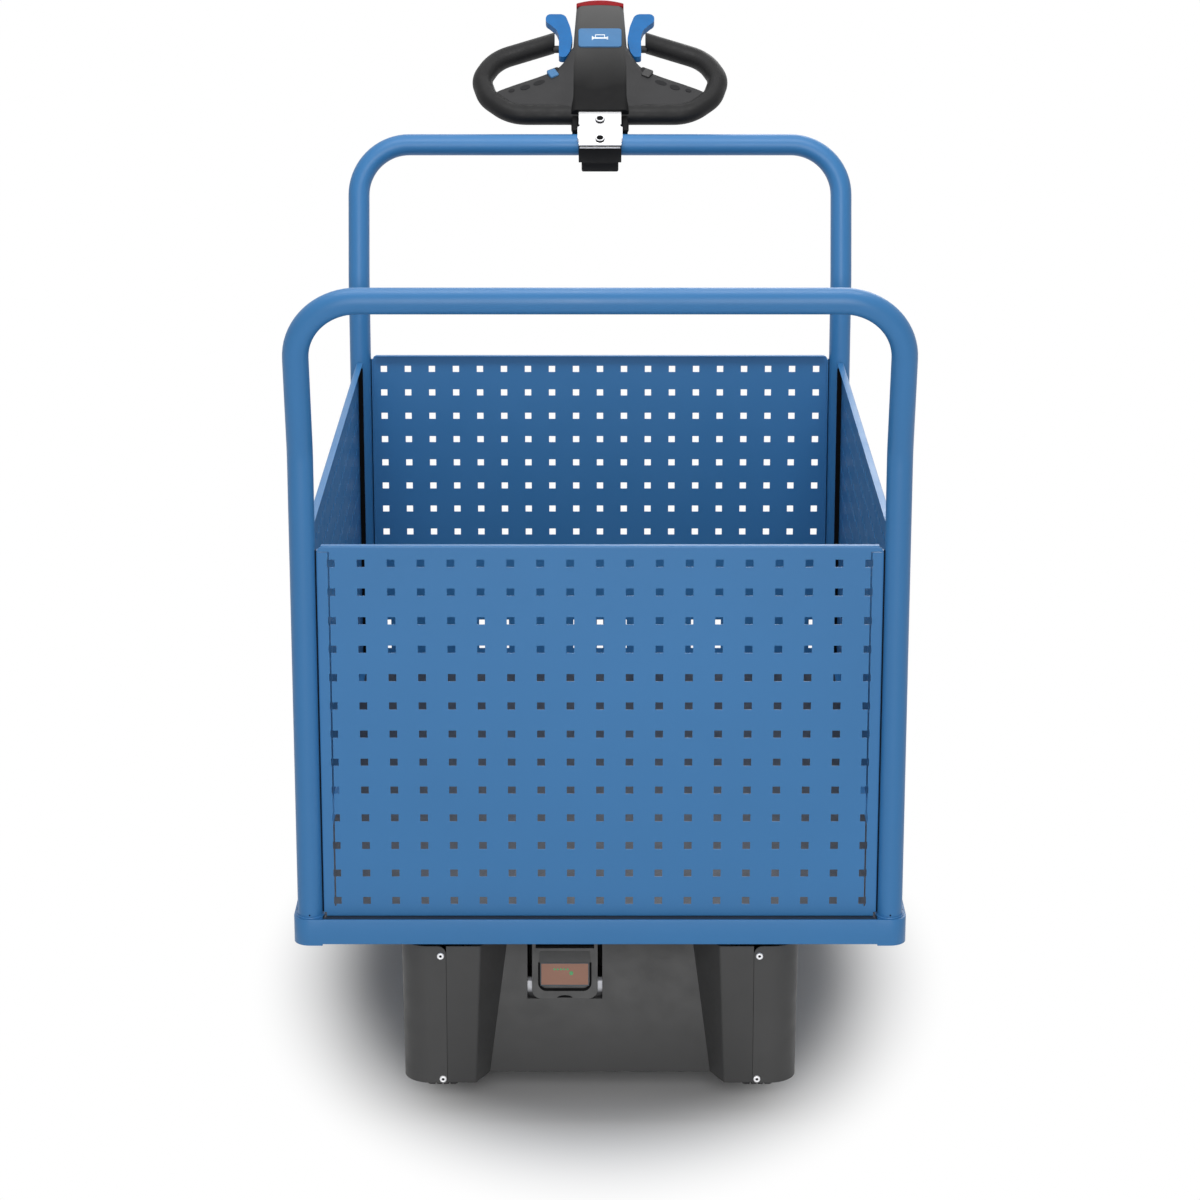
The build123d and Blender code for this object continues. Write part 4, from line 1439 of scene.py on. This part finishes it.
@dataclass
class DriveWheels:
    """The two driven wheels: a rubber tyre on a cast hub with a ring of bolts."""

    x: float = 212.0
    y: float = -457.0
    radius: float = 100.0
    half: float = 22.5
    rim: float = 79.0
    groove: float = 2.2
    grooves: tuple[float, ...] = (9.0, 0.0, -9.0)
    bolts: int = 6
    bolt_circle: float = 36.0
    bolt_radius: float = 5.6
    bolt_ends: tuple[float, float] = (18.5, 24.0)

    def build(self) -> None:
        """Make both wheels and dress their axles."""
        for side in Side:
            place = Matrix.Translation((side.value * self.x, self.y, self.radius)) @ side.mirror
            self.tyre(side, place)
            self.hub(side, place)
        coat(STEEL, "drive_axle_right", "drive_axle_left")

    def tyre(self, side: Side, place: Matrix) -> None:
        """The tyre, with round shoulders and three grooves in its tread.

        Args:
            side: the side it is on.
            place: where its middle goes.
        """
        half, top = self.half, self.radius
        low = top - self.groove
        shoulder = [
            (half, self.rim), (half, top - 8), (half - 0.8, top - 4), (half - 2.8, top - 1.2),
            (half - 5.5, top),
        ]
        tread = [
            (middle + x, level) for middle in self.grooves
            for x, level in ((1.6, top), (1.0, low), (-1.0, low), (-1.6, top))
        ]
        work = Workpiece()
        work.turned(shoulder + tread + [(-x, radius) for x, radius in reversed(shoulder)], place, 96)
        work.settle("drive_tread", TYRE, "tyre", "drive_tyre", side, Body.DRIVE_WHEEL)

    def hub(self, side: Side, place: Matrix) -> None:
        """The hub: a dished web between a rim ring and a drum, with bolts on its outer face.

        Args:
            side: the side it is on.
            place: where its middle goes.
        """
        profile = [
            (30.0, 10.4), (30.0, 21.0), (29.0, 22.0), (19.0, 22.0), (19.0, 50.5), (17.5, 52.0),
            (8.0, 58.0), (6.0, 62.0), (6.5, 66.0), (20.0, 70.5), (22.0, 72.5), (22.0, self.rim),
        ]
        work = Workpiece()
        work.turned(profile + [(-x, radius) for x, radius in reversed(profile)], place, 72)
        for index in range(self.bolts):
            angle = math.tau * index / self.bolts
            y, z = self.bolt_circle * math.cos(angle), self.bolt_circle * math.sin(angle)
            work.rod(*(place @ Vector((x, y, z)) for x in self.bolt_ends), self.bolt_radius, 6, 0.6)
        work.settle("drive_disc", HUB, "hub", "drive_hub", side, Body.DRIVE_WHEEL)


@dataclass
class Castors:
    """The two swivel castors: pressed forks, wheels with a round tread, and their bolts."""

    x: float = 300.0
    y: float = 440.0
    trail: float = 50.0
    radius: float = 100.0
    half: float = 24.0
    rim: float = 75.0
    fork_gap: float = 60.0
    fork_wall: float = 5.0
    crown_bottom: float = 206.0
    crown_top: float = 212.0
    race: float = 43.0
    race_top: float = 231.7
    foot_round: float = 22.0
    shoulder: float = 14.0
    heel: float = 8.0
    fork_edge: float = 0.9
    axle: float = 6.0
    plate_top: float = 242.0
    plate: float = 6.0
    bolt_x: float = 40.0
    bolt_y: float = 52.5
    head: float = 8.4
    head_height: float = 6.4
    washer: float = 10.4
    shank: float = 4.9
    shank_rise: float = 11.0
    ribs: int = 8

    def build(self) -> None:
        """Make both castors."""
        for side in Side:
            place = Matrix.Translation((side.value * self.x, self.y, 0))
            self.fork(side, place)
            self.wheel(side, place)
            self.bolts(side, place)

    def fork(self, side: Side, place: Matrix) -> None:
        """The fork: crown, race and two tapering legs with a wheel bolt.

        Args:
            side: the side it is on.
            place: its place on the floor.
        """
        work = Workpiece()
        inner, hub, foot = self.fork_gap / 2, self.radius, self.foot_round
        half, crown, top = inner + self.fork_wall, self.crown_bottom, self.crown_top
        front, rear = -self.race, self.race + foot
        leg = [
            (front, top), (front, crown - self.shoulder),
            (self.trail - foot, hub), (self.trail - foot, hub - foot),
            (self.trail + foot, hub - foot), (self.trail + foot, hub),
            (rear, crown - self.heel), (rear, top),
        ]
        for x in (-half, inner):
            work.raised([(x, y, z) for y, z in leg], (self.fork_wall, 0, 0))
        work.rounded(work.edges((1, 0, 0), lambda at: at.z < hub - foot + 1), foot * 0.98, 8)
        work.rounded(work.edges((1, 0, 0), lambda at: hub + 2 < at.z < crown), self.shoulder, 5)
        work.rounded(work.edges(fold=1.2), self.fork_edge, 2)
        work.slab((-inner - 0.6, front, crown), (inner + 0.6, rear, top), 0.5, 1)
        race, head = self.race, self.race_top
        profile = [
            (top - 0.3, 7.0), (top - 0.3, race), (top + 6, race), (top + 9, race - 2.0),
            (top + 12, race), (head - 1.5, race), (head, race - 1.5), (head, 7.0),
        ]
        work.turned(profile, X_TO_Z, 56)
        axle = Matrix.Translation((0, self.trail, hub))
        for sign in (-1, 1):
            for ends, radius, sides, edge in (((-0.5, 1.5), 11.0, 28, 0.4), ((1, 8), 9.4, 6, 0.7)):
                work.rod(*(axle @ Vector((sign * (half + x), 0, 0)) for x in ends), radius, sides, edge)
        work.rod(axle @ Vector((-half, 0, 0)), axle @ Vector((half, 0, 0)), self.axle, 24)
        work.settle("castor_yoke", ZINC, "zinc", "castor_fork", side, Body.CASTOR, place)

    def wheel(self, side: Side, place: Matrix) -> None:
        """The wheel: a tyre with a round tread on a ribbed plastic rim.

        Args:
            side: the side it is on.
            place: its castor's place on the floor.
        """
        centre = place @ Matrix.Translation((0, self.trail, self.radius))
        half, top = self.half, self.radius
        outer = [
            (half, self.rim), (half, top - 12), (half - 1.0, top - 7.5), (half - 4.0, top - 3.4),
            (half - 9.0, top - 1.0), (half - 15.0, top - 0.2), (0.0, top),
        ]
        tyre = Workpiece()
        tyre.turned(outer + [(-x, radius) for x, radius in reversed(outer[:-1])], centre, 96)
        tyre.settle("castor_tread", TYRE, "tyre", "castor_tyre", side, Body.CASTOR_WHEEL)
        profile = [
            (29.0, 6.4), (29.0, 25.0), (24.0, 26.5), (24.0, 29.0), (22.5, 30.0), (6.0, 34.0), (5.0, 38.0),
            (5.0, 56.0), (7.0, 60.0), (21.5, 65.0), (23.6, 67.0), (23.6, self.rim),
        ]
        rim = Workpiece()
        rim.turned(profile + [(-x, radius) for x, radius in reversed(profile)], centre, 72)
        for index in range(self.ribs):
            known = set(rim.bm.verts)
            rim.slab((-15.0, -2.2, 29.0), (15.0, 2.2, 66.0), 0.8, 1)
            made = [vert for vert in rim.bm.verts if vert not in known]
            turn = Matrix.Rotation(math.tau * index / self.ribs, 4, "X")
            bmesh.ops.transform(rim.bm, matrix=centre @ turn, verts=made)
        rim.settle("castor_disc", RIM_PLASTIC, "castor_rim", "castor_rim", side, Body.CASTOR_WHEEL)

    def bolts(self, side: Side, place: Matrix) -> None:
        """The four bolts that hold a castor's plate to the beam, heads below and shanks above.

        Args:
            side: the side it is on.
            place: their castor's place on the floor.
        """
        work = Workpiece()
        under = self.plate_top - self.plate
        for x in (-self.bolt_x, self.bolt_x):
            for y in (-self.bolt_y, self.bolt_y):
                work.rod((x, y, under - self.head_height), (x, y, under - 0.1), self.head, 6, 0.6)
                work.rod((x, y, under - 1.6), (x, y, under + 0.2), self.washer, 24, 0.3)
                work.rod((x, y, under), (x, y, self.plate_top + self.shank_rise), self.shank, 16)
        work.settle("castor_bolts", ZINC, "zinc", side=side, place=place)


@dataclass
class SteeringHead:
    """The steering head on the rear hoop, drawn flat: x across, y up the head, z out of its face."""

    bar_y: float = 632.961
    bar_z: float = 1109.0
    tilt_deg: float = 36.0
    clamp_half: float = 33.5
    clamp_front: float = 22.8
    start: float = 50.7
    clamp_top: float = 19.7
    plate: float = 3.0
    jaw_foot: float = -16.6
    clamp_foot: float = -38.2
    lower_half: float = 29.0
    bar_radius: float = 16.5
    bar_gap: float = 0.4
    screws: tuple[float, float] = (-11.4, 31.6)
    length: float = 243.3
    taper_start: float = 150.0
    half: float = 45.5
    tip_half: float = 38.0
    grip_radius: float = 16.2
    grip_end: float = 72.9
    level: float = 5.0
    pin_y: float = 211.0
    lever_in: float = 43.0
    lever_foot: float = 187.0
    lever_width: float = 45.0
    lever_length: float = 100.0
    lever_half: float = 6.0
    horn_half: float = 34.5
    horn_foot: float = 192.0
    horn_head: float = 234.0
    horn_bottom: float = 26.5
    horn_top: float = 29.5
    sign_y: float = 211.0
    sign_bottom: float = 29.3
    sign_top: float = 29.8
    cap_high: float = 14.0
    cap_arch: float = 7.5
    cap_lap: float = 4.0
    cap_bottom: float = -14.3
    cap_depth: float = 38.8
    cap_edge: float = 5.0
    pin: float = 6.0
    lever_corner: float = 5.0
    lever_edge: float = 5.2

    def build(self) -> None:
        """Make every piece of the head."""
        self.clamp()
        self.screw_heads()
        self.column()
        self.wings()
        self.pads()
        for side in Side:
            self.grip(side)
        for side in Side:
            self.lever(side)
        self.horn()
        self.tip()
        self.keys()

    @property
    def place(self) -> Matrix:
        """The head's flat drawing in its place on the hoop's bar."""
        turn = Matrix.Rotation(math.radians(self.tilt_deg), 4, "X")
        return Matrix.Translation((0, self.bar_y, self.bar_z)) @ turn

    def clamp(self) -> None:
        """The clamp block round the bar, and the zinc plate on it."""
        half, top, front = self.clamp_half, self.clamp_top, -self.clamp_front
        bar = self.bar_radius + self.bar_gap
        jaws = Workpiece()
        for near, far in ((-bar, front), (bar, self.start)):
            jaws.slab((-half, near, self.jaw_foot), (half, far, top), 0.8)
        jaws.slab((-self.lower_half, front, self.clamp_foot), (self.lower_half, self.start, -bar), 3.0, 3)
        jaws.slab((-half, front + 1, bar), (half, self.start - 1, top - 0.2), 0.4, 1)
        jaws.settle("clamp_jaws", BLACK, "black_plastic", "clamp_block", place=self.place)
        plate, notches = Workpiece(), Workpiece()
        plate.slab((-half, front, top), (half, self.start, top + self.plate), 0.9)
        for sign in (-1, 1):
            plate.slab((sign * (half - 3.0), -8.0, top - 11), (sign * (half + 1.8), 18.0, top + 2.6), 0.9)
            notches.slab((sign * (half - 1.8), 18.4, top), (sign * (half + 0.2), 22.6, top + 3.2), 0.3, 1)
        plate.slab((-31.7, front - 0.7, 14.9), (31.7, front + 1, 17.9), 0.4)
        plate.settle("clamp_cover", BRIGHT, "zinc", "clamp_plate", place=self.place)
        notches.settle("plate_notches", NEAR_BLACK_AND_SHADE, "black_plastic", place=self.place)

    def screw_heads(self) -> None:
        """The plate's two socket screws: a bright ring on a black collar, the collar being painted shade for
        the heads' dark sides and sockets.
        """
        caps, screw_shades = Workpiece(), Workpiece()
        top = self.clamp_top + self.plate
        ring = [(3.0, 5.1), (3.0, 6.6), (4.4, 6.4), (4.9, 6.0), (4.9, 5.4), (4.4, 5.1)]
        for y in self.screws:
            screw_shades.rod((0, y, top - 1.0), (0, y, top + 3.0), 7.2, 32, 0.3)
            screw_shades.rod((0, y, top), (0, y, top + 4.2), 5.3, 24)
            caps.turned(ring, Matrix.Translation((0, y, top)) @ X_TO_Z, 32)
        screw_shades.settle("clamp_screws", NEAR_BLACK_AND_SHADE, "black_plastic", place=self.place)
        caps.settle("screw_caps", BRIGHT, "zinc", place=self.place, sharp=50)

    def column(self) -> None:
        """The tapering column, with the two cheeks beside the clamp."""
        work = Workpiece()
        end = self.start + self.length
        side = [
            (self.start, -28.0), (self.taper_start, -28.0), (200.0, -25.5), (240.0, -21.0), (end, -14.0),
            (end, 24.0), (240.0, 26.4), (200.0, 27.0), (self.taper_start, 27.0), (self.start, 27.0),
        ]
        work.raised([(-self.half, y, z) for y, z in side], (2 * self.half, 0, 0))
        for vert in work.bm.verts:
            share = max(0.0, (vert.co.y - self.taper_start) / (end - self.taper_start))
            vert.co.x *= 1.0 - (1.0 - self.tip_half / self.half) * share
        long_edges = [
            edge for edge in work.bm.edges if abs(work.along(edge).x) < 0.5 and abs(work.along(edge).y) > 0.5
        ]
        work.rounded(long_edges, 9.0, 6)
        work.rounded(work.edges(None, lambda at: at.y < self.start + TOUCH), 1.5, 2)
        for sign in (-1, 1):
            work.slab((sign * (self.clamp_half + 0.6), self.bar_radius + 1.2, -26),
                      (sign * (self.clamp_half + 10.2), self.start + 6, self.clamp_top - 5), 1.6)
        work.settle("head_column", COLUMN, "black_plastic", "tiller_head", place=self.place)

    def wings(self) -> None:
        """A smooth wing from the column to each grip."""
        stations = [
            (26.0, 52.0, 236.0, 27.0, -26.0), (44.0, 52.0, 212.0, 25.5, -24.0),
            (57.0, 52.0, 172.0, 20.0, -16.0), (76.0, 52.0, 154.0, 17.5, -9.0),
            (104.0, 54.0, 139.0, 17.0, -7.0), (134.0, 58.0, 124.0, 17.0, -6.5),
            (158.0, 76.0, 110.0, 16.5, -6.0), (170.0, 90.0, 102.0, 14.0, -4.0),
        ]
        rows = 4
        work = Workpiece()
        grid = bmesh.ops.create_grid(work.bm, x_segments=len(stations) - 1, y_segments=rows, size=1.0)
        order = sorted(grid["verts"], key=lambda vert: (round(vert.co.x, 3), vert.co.y))
        for index, vert in enumerate(order):
            x, low, high, _, under = stations[index // (rows + 1)]
            vert.co = (x, low + (high - low) * (index % (rows + 1)) / rows, under)
        tops = {station[0]: station[3] for station in stations}
        for vert in verts_in(bmesh.ops.extrude_face_region(work.bm, geom=list(work.bm.faces))["geom"]):
            vert.co.z = tops[round(vert.co.x, 2)]
        work.both_sides()
        piece = work.settle("head_wings", WING, "black_plastic", place=self.place)
        smooth = piece.modifiers.new("Subdivision", "SUBSURF")
        smooth.levels = smooth.render_levels = 3

    def pads(self) -> None:
        """The three oval pads on each wing."""
        pads = Workpiece()
        for x, y, long, wide in (
            (118.6, 111.0, 8.5, 5.0), (96.5, 121.5, 10.0, 4.5), (140.0, 104.0, 5.0, 3.4),
        ):
            known = set(pads.bm.verts)
            pads.rod((0, 0, 0), (0, 0, 1.4), 1.0)
            made = [vert for vert in pads.bm.verts if vert not in known]
            turn = Matrix.Rotation(math.radians(-24), 4, "Z")
            spot = Matrix.Translation((x, y, 16.2)) @ turn @ Matrix.Diagonal((long, wide, 1.0, 1.0))
            bmesh.ops.transform(pads.bm, matrix=spot, verts=made)
        pads.both_sides()
        pads.settle("wing_pads", BLACK, "black_plastic", place=self.place)

    def grip(self, side: Side) -> None:
        """A closed grip, round from the head's foot to an open end beside the lever, and the lever's pin.

        Args:
            side: the side it is on.
        """
        place, start = self.place @ side.mirror, self.grip_end
        pin = Workpiece()
        ends = [(x, self.pin_y, self.level) for x in (start - 9.0, start + 2.0)]
        pin.rod(*ends, self.pin, 28, 0.8)
        pin.settle("lever_pin", WING, "black_plastic", side=side, place=place)
        path = [(30.0, 62.0), (140.0, 62.0), (178.0, 98.5), (189.5, 139.0), (167.5, 184.5), (54.5, 233.8)]
        work = Workpiece()
        work.tube([(x, y, self.level) for x, y in path], (60, 45, 42, 66), self.grip_radius, 40)
        work.cut((start, 0, 0), (1, 0, 0))
        work.drop_faces(lambda at: at.x < start and at.y > 130)
        rim = work.rim()
        bmesh.ops.contextual_create(work.bm, geom=rim)
        work.rounded(rim, 1.2, 2)
        work.settle("grip_loop", GRIP, "black_plastic", "grip", side, place=place)

    def lever(self, side: Side) -> None:
        """A thumb lever, hooked outward at its head.

        Args:
            side: the side it is on.
        """
        shares = [
            (0.02, 0.41), (0.11, 0.70), (0.27, 0.95), (0.40, 1.0), (0.90, 1.0), (1.0, 0.93), (0.98, 0.82),
            (0.82, 0.75), (0.60, 0.63), (0.51, 0.49), (0.51, 0.01), (0.27, 0.0), (0.12, 0.12),
        ]
        work = Workpiece()
        low, width, length = self.level - self.lever_half, self.lever_width, self.lever_length
        points = [(self.lever_in + width * x, self.lever_foot + length * y, low) for x, y in shares]
        work.raised(points, (0, 0, 2 * self.lever_half))
        work.rounded(work.edges((0, 0, 1)), self.lever_corner, 4)
        work.rounded(work.edges(fold=1.2), self.lever_edge, 6)
        work.settle("lever", LEVER_BLUE, "blue_plastic", "thumb_lever", side,
                    place=self.place @ side.mirror, sharp=40)

    def horn(self) -> None:
        """The horn button and its sign: a bell, a mouthpiece and a looped tube."""
        key, half = Workpiece(), self.horn_half
        key.slab((-half, self.horn_foot, self.horn_bottom), (half, self.horn_head, self.horn_top))
        key.rounded(key.edges((0, 0, 1)), 5.0, 5)
        key.rounded(key.edges(None, lambda at: at.z > self.horn_top - 0.1), 0.9, 2)
        key.settle("horn_key", BLUE_PLASTIC, "blue_plastic", "horn_button", place=self.place)
        sign, low, high, y = Workpiece(), self.sign_bottom, self.sign_top, self.sign_y
        bell = [(-13.0, -5.0), (-9.5, -1.6), (12.0, -1.6), (12.0, 1.6), (-9.5, 1.6), (-13.0, 5.0)]
        sign.raised([(x, y + up, low) for x, up in bell], (0, 0, high - low))
        for left, foot, right, head in (
            (10.5, -3.0, 13.0, 3.0), (-8.0, 1.0, -6.8, 7.6), (6.8, 1.0, 8.0, 7.6), (-7.4, 6.6, 7.4, 8.2),
        ):
            sign.slab((left, y + foot, low), (right, y + head, high))
        sign.settle("horn_sign", MARK, "blue_plastic", place=self.place)

    def tip(self) -> None:
        """The red switch across the tip: an arched cap that overlaps the column's end."""
        end = self.start + self.length
        shares = [-1.0 + index / 6 for index in range(13)]
        half, crest = self.tip_half, end + self.cap_high
        upper = [(half * share, crest - self.cap_arch * share ** 2) for share in shares]
        lower = [(half * share, end - self.cap_lap * share ** 2) for share in reversed(shares)]
        red = Workpiece()
        red.raised([(x, y, self.cap_bottom) for x, y in upper + lower], (0, 0, self.cap_depth))
        red.rounded(red.edges(None, lambda at: at.y > crest - self.cap_arch - 0.1, 1.0), self.cap_edge, 6)
        red.settle("tip_switch", RED_PLASTIC, "red_plastic", "belly_switch", place=self.place, sharp=50)

    def keys(self) -> None:
        """The two side buttons, and the dark sockets that they stand in."""
        spot = Matrix.Translation((75.0, 141.0, 15.0)) @ Matrix.Rotation(math.radians(-27), 4, "Z")
        for side, finish, slot in (
            (Side.RIGHT, DARK_BUTTON, "dark_button"), (Side.LEFT, BLUE_PLASTIC, "blue_plastic"),
        ):
            key = Workpiece()
            key.slab((-7.5, -8.5, -4.0), (7.5, 8.5, 6.4))
            key.rounded(key.edges((0, 0, 1)), 3.0, 4)
            key.rounded(key.edges(None, lambda at: at.z > 6.3), 2.0, 4)
            key.settle("side_key", finish, slot, "side_button", side, place=self.place @ side.mirror @ spot)
        socket = Workpiece()
        socket.slab((-14.0, -8.0, -6.0), (6.5, 10.5, 3.6))
        socket.rounded(socket.edges((0, 0, 1)), 3.0)
        socket.moved(spot)
        socket.both_sides()
        socket.settle("key_sockets", BLACK, "black_plastic", place=self.place)


@dataclass
class Studio:
    """The pale floor, the soft light and the camera, in metres."""

    lens: float = 107.59
    sensor: float = 36.0
    eye: tuple[float, float, float] = (0.0, -5.0964, 1.9635)
    pitch_deg: float = 15.896
    floor_half: float = 40.0
    sky: float = 0.22
    fade: tuple[float, float] = (0.68, 1.12)
    reach: tuple[float, float] = (0.46, 0.8)

    def build(self) -> None:
        """Set up the studio."""
        self.floor()
        self.light()
        self.camera()

    def floor(self) -> None:
        """A pale floor that keeps the truck's shadow and fades to white away from it."""
        mesh = bpy.data.meshes.new("floor")
        work = Workpiece()
        bmesh.ops.create_grid(work.bm, x_segments=8, y_segments=8, size=self.floor_half)
        work.bm.to_mesh(mesh)
        work.bm.free()
        material = bpy.data.materials.new("pale_floor")
        material.use_nodes = True
        graph = Graph(material.node_tree)
        across, along = self.reach
        length = graph.add("ShaderNodeVectorMath", operation="LENGTH")
        middle = (0.0, -PLACE.translation.y / along, 0.0)
        graph.feed(length, graph.laid(Location=middle, Scale=(1 / across, 1 / along, 1.0)))
        plain = graph.tree.nodes["Principled BSDF"]
        tone = graph.blend(graph.clouds(0.6, 3.0), (0.68, 0.68, 0.685, 1), (0.7, 0.7, 0.705, 1))
        graph.feed(plain, Base_Color=tone, Roughness=0.9, Specular_IOR_Level=0.1)
        away = graph.mapped(length.outputs["Value"], self.fade, way="SMOOTHSTEP")
        share = graph.sum("MULTIPLY", graph.seen(), away)
        graph.show("Material Output", share, plain, graph.add("ShaderNodeEmission"))
        mesh.materials.append(material)
        piece = bpy.data.objects.new("floor", mesh)
        bpy.context.scene.collection.objects.link(piece)

    def light(self) -> None:
        """A soft sky, white where it is seen, and large soft boxes above, in front and behind."""
        world = bpy.data.worlds.new("studio")
        world.use_nodes = True
        graph = Graph(world.node_tree)
        plain, white = graph.tree.nodes["Background"], graph.add("ShaderNodeBackground")
        graph.feed(plain, (1.0, 1.0, 1.0, 1.0), self.sky)
        graph.feed(white, (1.0, 1.0, 1.0, 1.0), 1.0)
        graph.show("World Output", graph.seen(), plain, white)
        bpy.context.scene.world = world
        for name, spot, aim, size, power in (
            ("top_box", (0.0, 0.3, 4.4), (0, 0, 0.5), (4.0, 4.0), 44.0),
            ("front_box", (0.0, -5.4, 2.0), (0, 0, 0.5), (2.6, 2.8), 130.0),
            ("rear_box", (1.2, 4.8, 3.2), (0, 0, 0.5), (3.0, 3.0), 70.0),
            ("middle_box", (0.0, -0.5, 2.7), (0, 0.75, 1.0), (2.0, 0.8), 24.0),
        ):
            lamp = bpy.data.lights.new(name, "AREA")
            lamp.shape = "RECTANGLE"
            lamp.size, lamp.size_y = size
            lamp.energy = power
            piece = bpy.data.objects.new(name, lamp)
            piece.location = spot
            piece.rotation_euler = (Vector(aim) - Vector(spot)).to_track_quat("-Z", "Y").to_euler()
            bpy.context.scene.collection.objects.link(piece)

    def camera(self) -> None:
        """The camera, in front of the truck and above it, looking down at it."""
        data = bpy.data.cameras.new("camera")
        data.sensor_width = self.sensor
        data.lens = self.lens
        piece = bpy.data.objects.new("camera", data)
        piece.location = self.eye
        piece.rotation_euler = (math.radians(90.0 - self.pitch_deg), 0.0, 0.0)
        bpy.context.scene.collection.objects.link(piece)
        bpy.context.scene.camera = piece


def main() -> None:
    """Build the truck's sub-assemblies in order, then the studio."""
    logging.basicConfig(level=logging.INFO, format="%(message)s")
    bpy.context.scene.view_settings.view_transform = "Standard"
    for assembly in (
        Rim(), Hoops(), Walls(), DriveUnit(), Battery(), DriveWheels(), Castors(), SteeringHead(), Studio(),
    ):
        log.info("building %s", type(assembly).__name__)
        assembly.build()


if __name__ == "__main__":
    main()
